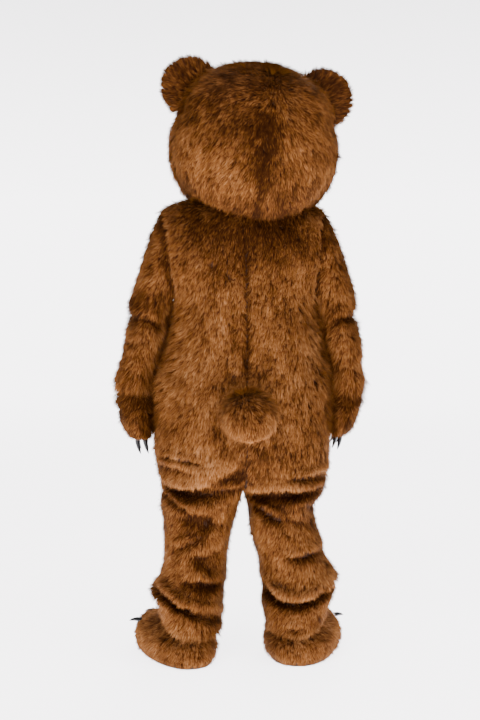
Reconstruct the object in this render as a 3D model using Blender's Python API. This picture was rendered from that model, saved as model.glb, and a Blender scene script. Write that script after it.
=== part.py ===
"""Fur bear costume, worn: a one-piece suit with sleeves and tail, a hollow head, gloves and boots.

Every sewn panel is a closed wall of pile cloth, parted from its neighbours by a seam gap.
Heights in the tables are above the floor. The origin is at the wearer's shoulders, +Z is up,
the bear faces -Y and its left side is at +X.
"""

import math
from collections import namedtuple

import bmesh
import bpy
import numpy as np
from mathutils import Euler, Matrix, Vector
from mathutils.bvhtree import BVHTree

NAME = "bear_mascot_costume"

# Driving sizes, in metres and degrees.
SHOULDER_HEIGHT = 1.42
BACKING = 0.002
LYING_PILE = 0.008
WALL = BACKING + LYING_PILE
SEAM_GAP = 0.0003
SEAT_GAP = 0.0006
LUMP_EDGE = 0.0016
GLOVE_WALL = 0.008
SIDES = {"left": 1.0, "right": -1.0}

# The suit's cross-section at each height. Each leg is an oval from its inner to its outer edge.
# Above the crotch the two ovals merge: join falls from 1, where they touch, to 0, where they are one.
BodySection = namedtuple(
    "BodySection", "height outer_left outer_right inner_left inner_right join back front square"
)
BODY_SECTIONS = (
    BodySection(0.100, 0.262, 0.264, 0.070, 0.074, 1.00, 0.124, 0.122, 2.0),
    BodySection(0.175, 0.272, 0.280, 0.064, 0.061, 1.00, 0.118, 0.118, 2.0),
    BodySection(0.225, 0.284, 0.291, 0.060, 0.062, 1.00, 0.117, 0.115, 2.0),
    BodySection(0.260, 0.262, 0.294, 0.055, 0.055, 1.00, 0.113, 0.112, 2.0),
    BodySection(0.310, 0.248, 0.264, 0.052, 0.050, 1.00, 0.108, 0.108, 2.0),
    BodySection(0.380, 0.246, 0.244, 0.043, 0.030, 1.00, 0.108, 0.108, 2.0),
    BodySection(0.440, 0.249, 0.226, 0.027, 0.019, 1.00, 0.113, 0.111, 2.0),
    BodySection(0.495, 0.255, 0.226, 0.012, 0.011, 1.00, 0.124, 0.114, 2.1),
    BodySection(0.520, 0.252, 0.246, 0.000, 0.000, 1.00, 0.134, 0.118, 2.1),
    BodySection(0.570, 0.256, 0.262, 0.000, 0.000, 0.62, 0.152, 0.132, 2.2),
    BodySection(0.610, 0.266, 0.267, 0.000, 0.000, 0.34, 0.163, 0.148, 2.3),
    BodySection(0.660, 0.274, 0.269, 0.000, 0.000, 0.12, 0.173, 0.168, 2.4),
    BodySection(0.710, 0.274, 0.270, 0.000, 0.000, 0.00, 0.180, 0.188, 2.4),
    BodySection(0.780, 0.273, 0.269, 0.000, 0.000, 0.00, 0.179, 0.204, 2.4),
    BodySection(0.870, 0.277, 0.273, 0.000, 0.000, 0.00, 0.168, 0.212, 2.4),
    BodySection(0.950, 0.251, 0.256, 0.000, 0.000, 0.00, 0.158, 0.204, 2.4),
    BodySection(1.030, 0.228, 0.238, 0.000, 0.000, 0.00, 0.152, 0.186, 2.4),
    BodySection(1.110, 0.220, 0.226, 0.000, 0.000, 0.00, 0.144, 0.168, 2.4),
    BodySection(1.220, 0.256, 0.262, 0.000, 0.000, 0.00, 0.132, 0.150, 2.4),
)
CROTCH_HEIGHT = 0.520

# Heights of the suit's rows of points, from the trouser hem to the armpit.
ROW_HEIGHTS = (
    0.100, 0.135, 0.170, 0.200, 0.230, 0.260, 0.295, 0.335, 0.380, 0.425, 0.465, 0.497, 0.520,
    0.545, 0.570, 0.605, 0.645, 0.690, 0.735, 0.785, 0.835, 0.885, 0.930, 0.975, 1.020, 1.060,
    1.090,
)
PANEL_COLUMNS = 8

# The hem dips at the heel and rides up over the instep.
HEM_BACK_DROP = 0.004
HEM_FRONT_RISE = 0.070
HEM_OUTER_RISE = 0.050
HEM_REACH = 0.150

# Armhole: an upright oval at each side, of half ROW count rows from armpit to shoulder point.
ARMHOLE_ROWS = 8
ARMPIT_HEIGHT = 1.090
ARMHOLE_MIDDLE = 1.220
ARMHOLE_HALF_DEPTH = 0.078
SHOULDER_POINT = (0.252, 1.400)

# Neck opening of the suit and the shoulder seam beside it.
NECK_COLUMNS = 3
NECK_HALF_WIDTH = 0.082
NECK_HALF_DEPTH = {"back": 0.066, "front": 0.076}
NECK_HEIGHT = {"back": 1.436, "front": 1.416}
NECK_SIDE_HEIGHT = 1.440
SHOULDER_BOW = 2.5

# Each sleeve's rings, from the armhole to the hem, by their outermost and innermost points.
SleeveSection = namedtuple("SleeveSection", "outer_x outer_z inner_x inner_z half_depth")
SLEEVE_SECTIONS = {
    "left": (
        SleeveSection(0.252, 1.398, 0.2200, 1.090, 0.078),
        SleeveSection(0.272, 1.352, 0.2260, 1.077, 0.081),
        SleeveSection(0.292, 1.298, 0.2310, 1.063, 0.083),
        SleeveSection(0.309, 1.247, 0.2345, 1.047, 0.083),
        SleeveSection(0.327, 1.190, 0.2375, 1.031, 0.081),
        SleeveSection(0.341, 1.142, 0.2400, 1.013, 0.078),
        SleeveSection(0.346, 1.103, 0.2415, 0.995, 0.075),
        SleeveSection(0.343, 1.068, 0.2455, 0.978, 0.073),
        SleeveSection(0.358, 1.038, 0.2500, 0.961, 0.072),
        SleeveSection(0.366, 1.006, 0.2560, 0.944, 0.071),
        SleeveSection(0.370, 0.968, 0.2640, 0.924, 0.069),
        SleeveSection(0.381, 0.929, 0.2730, 0.903, 0.067),
        SleeveSection(0.389, 0.899, 0.2810, 0.884, 0.064),
        SleeveSection(0.390, 0.868, 0.2860, 0.864, 0.060),
    ),
    "right": (
        SleeveSection(0.252, 1.398, 0.2250, 1.090, 0.078),
        SleeveSection(0.278, 1.352, 0.2310, 1.077, 0.081),
        SleeveSection(0.300, 1.298, 0.2355, 1.063, 0.083),
        SleeveSection(0.318, 1.247, 0.2390, 1.047, 0.083),
        SleeveSection(0.335, 1.190, 0.2425, 1.031, 0.081),
        SleeveSection(0.348, 1.142, 0.2455, 1.013, 0.078),
        SleeveSection(0.348, 1.103, 0.2480, 0.995, 0.075),
        SleeveSection(0.345, 1.066, 0.2525, 0.978, 0.073),
        SleeveSection(0.362, 1.034, 0.2570, 0.961, 0.072),
        SleeveSection(0.370, 1.000, 0.2610, 0.944, 0.071),
        SleeveSection(0.374, 0.962, 0.2655, 0.922, 0.069),
        SleeveSection(0.373, 0.922, 0.2705, 0.898, 0.067),
        SleeveSection(0.378, 0.888, 0.2760, 0.874, 0.064),
        SleeveSection(0.376, 0.852, 0.2810, 0.848, 0.060),
    ),
}
SLEEVE_CAP_RINGS = 4

# The largest folds. Turn is the angle round the suit or sleeve: 0 in front, 90 at the outer side,
# 180 at the back, 270 at the inner side. Each fold is a soft trough along a bowed line.
Fold = namedtuple("Fold", "part turn_from turn_to height_from height_middle height_to depth half_width")
FOLDS = (
    # Seat overhang and the trough below it, back of each thigh.
    Fold("leg_left", 95, 262, 0.572, 0.546, 0.594, 0.020, 0.024),
    Fold("leg_right", 100, 258, 0.556, 0.536, 0.530, 0.020, 0.024),
    Fold("leg_left", 92, 165, 0.628, 0.622, 0.604, 0.010, 0.022),
    Fold("leg_right", 92, 160, 0.590, 0.588, 0.580, 0.010, 0.022),
    # Slack of each thigh, lying in rolls.
    Fold("leg_left", 140, 225, 0.470, 0.452, 0.440, 0.009, 0.022),
    Fold("leg_right", 110, 250, 0.435, 0.462, 0.500, 0.010, 0.024),
    Fold("leg_left", 160, 240, 0.345, 0.352, 0.372, 0.007, 0.024),
    Fold("leg_right", 95, 175, 0.350, 0.346, 0.352, 0.009, 0.024),
    # Deep rolls of the calf, over the boot.
    Fold("leg_left", 150, 250, 0.270, 0.262, 0.256, 0.010, 0.020),
    Fold("leg_left", 85, 262, 0.238, 0.196, 0.150, 0.020, 0.020),
    Fold("leg_right", 80, 275, 0.258, 0.205, 0.250, 0.022, 0.022),
    # The same slack on the front of the legs.
    Fold("leg_left", -70, 85, 0.545, 0.520, 0.552, 0.012, 0.024),
    Fold("leg_right", -70, 85, 0.550, 0.524, 0.548, 0.012, 0.024),
    Fold("leg_left", -80, 60, 0.400, 0.372, 0.392, 0.010, 0.026),
    Fold("leg_right", -60, 80, 0.372, 0.390, 0.420, 0.010, 0.026),
    Fold("leg_left", -85, 70, 0.270, 0.236, 0.262, 0.016, 0.022),
    Fold("leg_right", -75, 85, 0.262, 0.240, 0.282, 0.016, 0.022),
    # Elbow and forearm of each sleeve.
    Fold("sleeve_left", 52, 232, 1.092, 1.082, 1.050, 0.013, 0.019),
    Fold("sleeve_right", 60, 225, 1.086, 1.082, 1.056, 0.013, 0.020),
    Fold("sleeve_left", 80, 205, 1.020, 1.004, 1.012, 0.006, 0.015),
    Fold("sleeve_right", 75, 215, 1.016, 1.028, 1.022, 0.005, 0.018),
    Fold("sleeve_left", -60, 70, 1.072, 1.050, 1.078, 0.012, 0.022),
    Fold("sleeve_right", -60, 70, 1.060, 1.046, 1.072, 0.012, 0.022),
)
FOLD_END = 0.28
FOLD_POWER = 1.7

# Tail: a stuffed ball on the centre-back seam.
TAIL_CENTRE = (0.002, 0.226, 0.789)
TAIL_RADII = (0.084, 0.076, 0.082)

# Head, in its own frame: a full oval whose cheeks are wider than its crown.
HEAD_CENTRE = (-0.033, 0.0, 1.5936)
HEAD_ROLL = 4.5
HEAD_YAW = 5.0
HEAD_HALF_WIDTH = 0.260
HEAD_HALF_DEPTH = {"back": 0.226, "front": 0.232}
HEAD_CROWN = 0.247
HEAD_CHIN = {"back": 0.268, "side": 0.228, "front": 0.290}
HEAD_SQUARE = 2.3
HEAD_COLUMNS = 9
HEAD_ROWS = 10
# Under the ears the sides dip in: how deep, as a share of the width, at what share of the lift, how far.
HEAD_DIP = 0.045
HEAD_DIP_LIFT = 0.32
HEAD_DIP_REACH = 0.16
# How far down each meridian reaches before the neck opening's rim, from the crown.
HEAD_RIM = {"back": 142.0, "side": 131.9, "front": 142.0}

EAR_CENTRE = {"left": (0.202, 0.0, 0.154), "right": (0.202, 0.0, 0.163)}
EAR_RADIUS = 0.089
EAR_HALF_THICKNESS = 0.034
EAR_SEAT = 0.0023
MUZZLE_CENTRE = (0.0, -0.220, -0.062)
MUZZLE_RADII = (0.112, 0.098, 0.080)
MUZZLE_SEAT = 0.0022
NOSE_CENTRE = (0.0, -0.309, -0.026)
NOSE_RADII = (0.036, 0.022, 0.026)
NOSE_SEAT = 0.0016
EYE_CENTRE = (0.078, -0.224, 0.044)
EYE_RADII = (0.021, 0.017, 0.025)

# Gloves: rings from the cuff, inside the sleeve, down to the fingertips.
GloveSection = namedtuple("GloveSection", "height middle_x middle_y half_width half_depth")
GLOVE_SECTIONS = {
    "left": (
        GloveSection(0.890, 0.3335, 0.000, 0.0335, 0.038),
        GloveSection(0.866, 0.3334, 0.000, 0.036, 0.042),
        GloveSection(0.846, 0.334, -0.001, 0.042, 0.049),
        GloveSection(0.818, 0.332, -0.003, 0.051, 0.061),
        GloveSection(0.784, 0.331, -0.005, 0.052, 0.068),
        GloveSection(0.750, 0.330, -0.006, 0.049, 0.067),
        GloveSection(0.722, 0.325, -0.007, 0.042, 0.060),
        GloveSection(0.703, 0.321, -0.008, 0.033, 0.048),
        GloveSection(0.690, 0.318, -0.009, 0.020, 0.029),
    ),
    "right": (
        GloveSection(0.880, 0.328, 0.000, 0.032, 0.040),
        GloveSection(0.852, 0.3277, 0.000, 0.0345, 0.0435),
        GloveSection(0.832, 0.327, -0.001, 0.038, 0.048),
        GloveSection(0.806, 0.325, -0.003, 0.047, 0.061),
        GloveSection(0.776, 0.321, -0.005, 0.047, 0.068),
        GloveSection(0.748, 0.317, -0.006, 0.042, 0.066),
        GloveSection(0.726, 0.313, -0.007, 0.036, 0.059),
        GloveSection(0.708, 0.307, -0.008, 0.027, 0.047),
        GloveSection(0.697, 0.303, -0.009, 0.016, 0.028),
    ),
}
GLOVE_TIP = {"left": 0.686, "right": 0.693}
GLOVE_TURN = {"left": 15.0, "right": -12.0}
GLOVE_COLUMNS = 16

# Claws: a row of curved, pointed horns. Those of a glove stand in a bow around its tip: two hang
# down behind and two reach forwards.
CLAW_COUNT = 4
CLAW_LENGTH = 0.046
CLAW_RADIUS = {"glove": 0.0086, "boot": 0.0086}
BOOT_CLAW_SEAT = 0.0013
CLAW_BEND = 28.0
CLAW_SIDES = 8
GloveClaw = namedtuple("GloveClaw", "outwards backwards reach seat")
GLOVE_CLAWS = {
    "left": (
        GloveClaw(0.010, 0.012, 0.0, 0.0013),
        GloveClaw(-0.014, 0.004, 0.0, 0.0020),
        GloveClaw(-0.013, -0.022, 0.9, 0.0020),
        GloveClaw(0.010, -0.026, 0.9, 0.0017),
    ),
    "right": (
        GloveClaw(0.003, 0.012, 0.0, 0.0009),
        GloveClaw(-0.008, -0.008, 0.3, 0.0026),
        GloveClaw(-0.008, -0.033, 1.0, 0.0021),
        GloveClaw(0.012, -0.030, 1.0, 0.0017),
    ),
}

# Boots, in the foot's own frame: heel to +Y, toes to -Y.
BootSection = namedtuple("BootSection", "height foot middle_y half_width half_length")
BOOT_SECTIONS = (
    BootSection(0.0093, 1.0, -0.052, 0.108, 0.176),
    BootSection(0.030, 1.0, -0.054, 0.118, 0.188),
    BootSection(0.056, 1.0, -0.052, 0.119, 0.186),
    BootSection(0.080, 1.0, -0.052, 0.113, 0.174),
    BootSection(0.104, 0.8, -0.058, 0.0968, 0.147),
    BootSection(0.128, 0.3, -0.020, 0.077, 0.101),
    BootSection(0.154, 0.0, 0.000, 0.071, 0.080),
    BootSection(0.190, 0.0, 0.000, 0.069, 0.076),
)
# Under the ankle each foot lies this far outwards and is this much narrower than the table.
BOOT_ASIDE = {"left": 0.029, "right": 0.015}
BOOT_NARROW = {"left": 0.06, "right": 0.0}
BOOT_COLUMNS = 20
BOOT_PLACE = {"left": (0.1635, 0.0022), "right": (0.1640, 0.0067)}
BOOT_TURN = {"left": 20.0, "right": -16.0}
BOOT_SQUARE = 2.3
SOLE_THICKNESS = 0.009
SOLE_INSET = 0.004
BOOT_CLAW_SPREAD = 0.150
BOOT_CLAW_HEIGHT = 0.086

FUR_BROWN = (0.125, 0.052, 0.016)
FUR_TAN = (0.42, 0.24, 0.10)
CLAW_BLACK = (0.010, 0.010, 0.012)
SOLE_BLACK = (0.020, 0.018, 0.017)


def smooth_column(heights, values, at):
    """Values along a table's column, on a smooth curve through its rows."""
    slopes = np.gradient(values, heights)
    index = np.clip(np.searchsorted(heights, at) - 1, 0, len(heights) - 2)
    step = heights[index + 1] - heights[index]
    t = np.clip((at - heights[index]) / step, 0.0, 1.0)
    return (
        (2 * t**3 - 3 * t**2 + 1) * values[index]
        + (t**3 - 2 * t**2 + t) * step * slopes[index]
        + (3 * t**2 - 2 * t**3) * values[index + 1]
        + (t**3 - t**2) * step * slopes[index + 1]
    )


def body_section(side, height):
    """(middle x, half width, join, back, front, square) of the suit's oval on one side at a height."""
    table = {field: np.array([getattr(row, field) for row in BODY_SECTIONS]) for field in BodySection._fields}

    def read(field):
        return float(smooth_column(table["height"], table[field], height))

    outer = read("outer_" + side)
    if height < CROTCH_HEIGHT - 1e-9:
        inner = max(read("inner_" + side), 0.004)
        middle, half, join = (outer + inner) / 2, (outer - inner) / 2, 1.0
    else:
        join = min(max(read("join"), 0.0), 1.0)
        half = outer / (1 + join)
        middle = join * half
    return middle, half, join, read("back"), read("front"), read("square")


def fold_offset(part, turn, height):
    """How far the cloth lies in, from every fold of one part, at a turn in degrees and a height."""
    total = 0.0
    for fold in FOLDS:
        if fold.part != part:
            continue
        along = (turn - fold.turn_from) / (fold.turn_to - fold.turn_from)
        if not 0.0 < along < 1.0:
            continue
        ends = min(along, 1 - along, FOLD_END) / FOLD_END
        line = (
            fold.height_from * (1 - along) * (1 - 2 * along)
            + 4 * fold.height_middle * along * (1 - along)
            + fold.height_to * along * (2 * along - 1)
        )
        across = abs(height - line) / fold.half_width
        total += fold.depth * math.sin(ends * math.pi / 2) * math.exp(-(across**FOLD_POWER))
    return total


def oval_point(angle, half_width, half_depth, square):
    """Point of an oval: angle 0 at its inner end, 90 degrees at its back."""
    c, s = math.cos(angle), math.sin(angle)
    return (
        -half_width * math.copysign(abs(c) ** (2 / square), c),
        half_depth * abs(s) ** (2 / square),
    )


def hem_height(height, turn):
    """Lowest rows follow the hem: it dips behind the heel and rises over the instep and outside."""
    reach = max(0.0, 1 - (height - ROW_HEIGHTS[0]) / HEM_REACH)
    front = max(0.0, math.cos(math.radians(turn)))
    outside = max(0.0, math.sin(math.radians(turn)))
    back = max(0.0, -math.cos(math.radians(turn)))
    rise = HEM_FRONT_RISE * front + HEM_OUTER_RISE * outside**2 - HEM_BACK_DROP * back
    return height + rise * reach**1.5


def armhole_edge(row):
    """(depth from the side, height) of the armhole's edge at a row above the armpit."""
    angle = math.pi * row / ARMHOLE_ROWS
    upward = -math.cos(angle)
    reach = SHOULDER_POINT[1] - ARMHOLE_MIDDLE if upward > 0 else ARMHOLE_MIDDLE - ARMPIT_HEIGHT
    return ARMHOLE_HALF_DEPTH * math.sin(angle), ARMHOLE_MIDDLE + reach * upward


def oval_row(side, face, height, last_angle=None):
    """A suit row from the centre or inseam to the side, at one height."""
    middle, half, join, back, front, square = body_section(side, height)
    depth = back if face == "back" else front
    first = math.acos(min(1.0, join ** (square / 2)))
    last = math.pi
    if last_angle is not None:
        last = math.pi - math.asin(min(1.0, (last_angle / depth) ** (square / 2)))
    row = []
    for column in range(PANEL_COLUMNS + 1):
        angle = first + (last - first) * column / PANEL_COLUMNS
        across, deep = oval_point(angle, half, depth, square)
        turn = 270 - math.degrees(angle) if face == "back" else math.degrees(angle) - 90
        row.append([middle + across, deep, height, turn])
    row = np.array(row)
    if join >= 1.0 and height >= CROTCH_HEIGHT - 1e-9:
        row[0, 0] = 0.0
    if join < 1.0:
        row[0, 0] = 0.0
    return row


def top_row(face):
    """The suit's top edge: half the neck opening, then the shoulder seam."""
    row = []
    for column in range(PANEL_COLUMNS + 1):
        if column <= NECK_COLUMNS:
            angle = math.pi / 2 * column / NECK_COLUMNS
            lift = (1 - math.cos(angle)) * (NECK_SIDE_HEIGHT - NECK_HEIGHT[face])
            row.append(
                [
                    NECK_HALF_WIDTH * math.sin(angle),
                    NECK_HALF_DEPTH[face] * math.cos(angle),
                    NECK_HEIGHT[face] + lift,
                ]
            )
        else:
            share = (column - NECK_COLUMNS) / (PANEL_COLUMNS - NECK_COLUMNS)
            drop = share**SHOULDER_BOW * (NECK_SIDE_HEIGHT - SHOULDER_POINT[1])
            across = NECK_HALF_WIDTH + (SHOULDER_POINT[0] - NECK_HALF_WIDTH) * share
            row.append([across, 0.0, NECK_SIDE_HEIGHT - drop])
    return np.array(row)


def body_quarter(side, face):
    """Outer points of one suit panel, as rows from the hem to the neck and shoulder seam."""
    part = "leg_" + side
    rows = []
    for height in ROW_HEIGHTS:
        row = oval_row(side, face, height)
        middle = body_section(side, height)[0]
        for point in row:
            inward = fold_offset(part, point[3], height)
            flat = np.array([point[0] - middle, point[1]])
            length = max(np.hypot(*flat), 1e-6)
            if point[0] > 0.0:
                point[0] -= inward * flat[0] / length
            point[1] -= inward * flat[1] / length
            point[2] = hem_height(height, point[3])
        rows.append(row[:, :3])
    half = ARMHOLE_ROWS // 2
    for k in range(1, half + 1):
        deep, height = armhole_edge(k)
        rows.append(oval_row(side, face, height, deep)[:, :3])
    chest = rows[-1]
    top = top_row(face)
    for k in range(half + 1, ARMHOLE_ROWS + 1):
        deep, height = armhole_edge(k)
        bend = math.pi / 2 * (k - half) / half
        row = chest.copy()
        row[:, 0] += (top[:, 0] - chest[:, 0]) * (1 - math.cos(bend)) ** 0.8
        row[:, 1] = top[:, 1] + (chest[:, 1] - top[:, 1]) * math.cos(bend)
        row[:, 2] = chest[:, 2] + (top[:, 2] - chest[:, 2]) * math.sin(bend)
        rows.append(row)
    grid = np.array(rows)
    grid[-1] = top
    grid[:, :, 0] *= SIDES[side]
    if face == "front":
        grid[:, :, 1] *= -1
    return grid


def sleeve_grid(side, back, front):
    """Outer points of a sleeve: rings from the armhole to the hem, each starting at its top or outside."""
    sections = SLEEVE_SECTIONS[side]
    sign = SIDES[side]
    edge = ARMHOLE_ROWS
    loop = [back[-1 - k, -1] for k in range(edge)] + [front[-1 - edge + k, -1] for k in range(edge)]
    loop = np.array(loop)
    count = len(loop)
    rings = []
    for index, section in enumerate(sections):
        outer = np.array([section.outer_x * sign, 0.0, section.outer_z])
        inner = np.array([section.inner_x * sign, 0.0, section.inner_z])
        ring = []
        for k in range(count):
            angle = 2 * math.pi * k / count
            ring.append(
                (outer + inner) / 2
                + (outer - inner) / 2 * math.cos(angle)
                + np.array([0.0, section.half_depth * math.sin(angle), 0.0])
            )
        ring = np.array(ring)
        if index == 0:
            change = loop - ring
        fade = max(0.0, 1 - index / SLEEVE_CAP_RINGS) ** 2
        ring = ring + change * fade
        middle = (outer + inner) / 2
        for k in range(count):
            turn = (90 + 360 * k / count) % 360
            turn = turn - 360 if turn > 270 else turn
            inward = fold_offset("sleeve_" + side, turn, ring[k][2])
            toward = middle - ring[k]
            ring[k] += toward * inward / np.linalg.norm(toward)
        rings.append(ring)
    return np.array(rings)


def shared_normals(grids, closed):
    """Unit normals at every grid point, averaged over all grids that share the point."""
    points = np.concatenate([grid.reshape(-1, 3) for grid in grids])
    _, index = np.unique(np.round(points, 6), axis=0, return_inverse=True)
    index = index.reshape(-1)
    total = np.zeros((index.max() + 1, 3))
    start = 0
    for grid, (flip, wraps) in zip(grids, closed):
        rows, columns = grid.shape[:2]
        number = start + np.arange(rows * columns).reshape(rows, columns)
        start += rows * columns
        if wraps:
            number = np.concatenate([number, number[:, :1]], axis=1)
        a, b = number[:-1, :-1].ravel(), number[:-1, 1:].ravel()
        c, d = number[1:, 1:].ravel(), number[1:, :-1].ravel()
        cross = np.cross(points[c] - points[a], points[d] - points[b])
        cross = -cross if flip else cross
        for corner in (a, b, c, d):
            np.add.at(total, index[corner], cross)
    length = np.linalg.norm(total, axis=1, keepdims=True)
    normals = (total / np.maximum(length, 1e-12))[index]
    cuts = np.cumsum([grid.shape[0] * grid.shape[1] for grid in grids])[:-1]
    return [part.reshape(grid.shape) for part, grid in zip(np.split(normals, cuts), grids)]


def material(name, colour, roughness):
    """A plain finish for one group of pieces."""
    made = bpy.data.materials.get(name)
    if made is None:
        made = bpy.data.materials.new(name)
        made.use_nodes = True
        shader = made.node_tree.nodes["Principled BSDF"]
        shader.inputs["Base Color"].default_value = (*colour, 1.0)
        shader.inputs["Roughness"].default_value = roughness
    return made


def add_object(name, vertices, faces, finish, parent, smooth=True):
    """A closed mesh object: points that coincide are merged and its faces turned outwards."""
    mesh = bpy.data.meshes.new(name)
    shape = bmesh.new()
    points = [shape.verts.new(Vector(vertex)) for vertex in vertices]
    for face in faces:
        shape.faces.new([points[k] for k in face])
    bmesh.ops.remove_doubles(shape, verts=shape.verts, dist=1e-6)
    bmesh.ops.dissolve_degenerate(shape, edges=shape.edges, dist=1e-7)
    bmesh.ops.recalc_face_normals(shape, faces=shape.faces)
    shape.to_mesh(mesh)
    shape.free()
    made = bpy.data.objects.new(name, mesh)
    bpy.data.collections[NAME].objects.link(made)
    made.data.materials.append(finish)
    made.parent = parent
    if smooth:
        mesh.shade_smooth()
        mesh.set_sharp_from_angle(angle=math.radians(50))
    return made


def grid_faces(rows, columns, wraps, offset=0):
    """Quads of a grid of points numbered row by row."""
    faces = []
    for row in range(rows - 1):
        for column in range(columns if wraps else columns - 1):
            following = (column + 1) % columns
            faces.append(
                (
                    offset + row * columns + column,
                    offset + row * columns + following,
                    offset + (row + 1) * columns + following,
                    offset + (row + 1) * columns + column,
                )
            )
    return faces


def walled(name, outer, inner, wraps, finish, parent):
    """A closed wall between an outer and an inner grid, with its rims."""
    rows, columns = outer.shape[:2]
    size = rows * columns
    faces = grid_faces(rows, columns, wraps)
    faces += [face[::-1] for face in grid_faces(rows, columns, wraps, size)]
    rims = [[column for column in range(columns)], [(rows - 1) * columns + column for column in range(columns)]]
    if wraps:
        rims = [rim + rim[:1] for rim in rims]
    else:
        rims.append([row * columns for row in range(rows)])
        rims.append([row * columns + columns - 1 for row in range(rows)])
    vertices = np.concatenate([outer.reshape(-1, 3), inner.reshape(-1, 3)])
    for rim in rims:
        for a, b in zip(rim, rim[1:]):
            # Both sides of a seam split their edge strips the same way, so the strips stay parallel.
            low, high = (a, b) if vertices[a][2] <= vertices[b][2] else (b, a)
            faces += [(low, high, size + high), (low, size + high, size + low)]
    return add_object(name, vertices, faces, finish, parent)


def hold_off(grid, axis, sign):
    """Keep every point of a seam's edge half a gap to its own side of the seam's plane."""
    grid[..., axis] = sign * np.maximum(sign * grid[..., axis], SEAM_GAP / 2)


def sew_suit(parent):
    """Four quarter panels and two sleeves, walled along normals that they share."""
    fur = material("brown_fur", FUR_BROWN, 0.9)
    grids, turns = {}, []
    for side, sign in SIDES.items():
        for face in ("back", "front"):
            grids[f"suit_{face}_{side}"] = body_quarter(side, face)
            turns.append(((sign > 0) == (face == "back"), False))
    normals = dict(zip(grids, shared_normals(list(grids.values()), turns)))
    for side, sign in SIDES.items():
        back, front = f"suit_back_{side}", f"suit_front_{side}"
        grid = sleeve_grid(side, grids[back], grids[front])
        normal = shared_normals([grid], [(sign > 0, True)])[0]
        for k in range(2 * ARMHOLE_ROWS):
            panel, row = (back, -1 - k) if k < ARMHOLE_ROWS else (front, k - 2 * ARMHOLE_ROWS - 1)
            shared = normals[panel][row, -1] + normal[0, k]
            normal[0, k] = normals[panel][row, -1] = shared / np.linalg.norm(shared)
        # The two panels meet at the armpit and at the shoulder point.
        normals[front][-1 - ARMHOLE_ROWS, -1] = normals[back][-1 - ARMHOLE_ROWS, -1] = normal[0, ARMHOLE_ROWS]
        normals[front][-1, -1] = normal[0, 0]
        grids["sleeve_" + side] = grid
        normals["sleeve_" + side] = normal
    surfaces = {}
    for name, grid in grids.items():
        normal, wraps = normals[name], name.startswith("sleeve")
        outer, inner = grid.copy(), grid - WALL * normal
        if name.startswith("suit"):
            face, side = name.split("_")[1:]
            sign, behind = SIDES[side], 1.0 if face == "back" else -1.0
            crotch = ROW_HEIGHTS.index(CROTCH_HEIGHT)
            for wall in (outer, inner):
                hold_off(wall[crotch:, 0], 0, sign)
                wall[crotch + 1 :, 0, 0] = sign * SEAM_GAP / 2
                wall[: crotch + 1, 0, 1] = behind * SEAM_GAP / 2
                wall[: len(ROW_HEIGHTS), -1, 1] = behind * SEAM_GAP / 2
                wall[-1, NECK_COLUMNS:, 1] = behind * SEAM_GAP / 2
        else:
            around = np.roll(grid[0], -1, axis=0) - np.roll(grid[0], 1, axis=0)
            away = np.cross(normal[0], around)
            away *= np.sign(np.sum(away * (grid[1] - grid[0]), axis=1, keepdims=True))
            away /= np.linalg.norm(away, axis=1, keepdims=True)
            outer[0] += SEAM_GAP * away
            inner[0] += SEAM_GAP * away
        surfaces[name] = (grid, wraps)
        walled(name, outer, inner, wraps, fur, parent)
    return surfaces


def tree_of(surfaces):
    """A ray-cast tree of several outer grids, each (grid, wraps)."""
    vertices, faces, start = [], [], 0
    for grid, wraps in surfaces:
        rows, columns = grid.shape[:2]
        vertices += [Vector(point) for point in grid.reshape(-1, 3)]
        faces += grid_faces(rows, columns, wraps, start)
        start += rows * columns
    return BVHTree.FromPolygons(vertices, faces)


def height_over(tree, point, outward):
    """How far a point stands above a surface along outward, from the highest of four near rays."""
    beside = outward.orthogonal().normalized() * SEAT_GAP
    across = outward.cross(beside)
    heights = []
    for shift in (beside, -beside, across, -across):
        hit = tree.ray_cast(point + shift + outward, -outward)[0]
        if hit is not None:
            heights.append((point - hit).dot(outward))
    return min(heights) if heights else None


def seated_lump(name, centre, radii, outward, tree, finish, parent, segments=16, rings=10, seat=SEAT_GAP):
    """A stuffed or moulded lump whose underside is pressed to the surface that carries it.

    The lump is an oval ball with its poles along outward. Every point that would lie in or under
    the carrier is raised along outward to the seat's height above it.
    """
    outward = Vector(outward).normalized()
    ball = bmesh.new()
    bmesh.ops.create_uvsphere(ball, u_segments=segments, v_segments=rings, radius=1.0)
    tilt = Vector((0, 0, 1)).rotation_difference(outward).to_matrix()
    for vertex in ball.verts:
        above = seat + LUMP_EDGE * max(0.0, vertex.co.z)
        vertex.co = tilt @ vertex.co
        vertex.co = Vector([centre[k] + radii[k] * vertex.co[k] for k in range(3)])
        over = height_over(tree, vertex.co, outward)
        if over is not None and over < above:
            vertex.co += outward * (above - over)
    vertices = [vertex.co.copy() for vertex in ball.verts]
    faces = [[vertex.index for vertex in face.verts] for face in ball.faces]
    ball.free()
    return add_object(name, vertices, faces, finish, parent)


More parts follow.
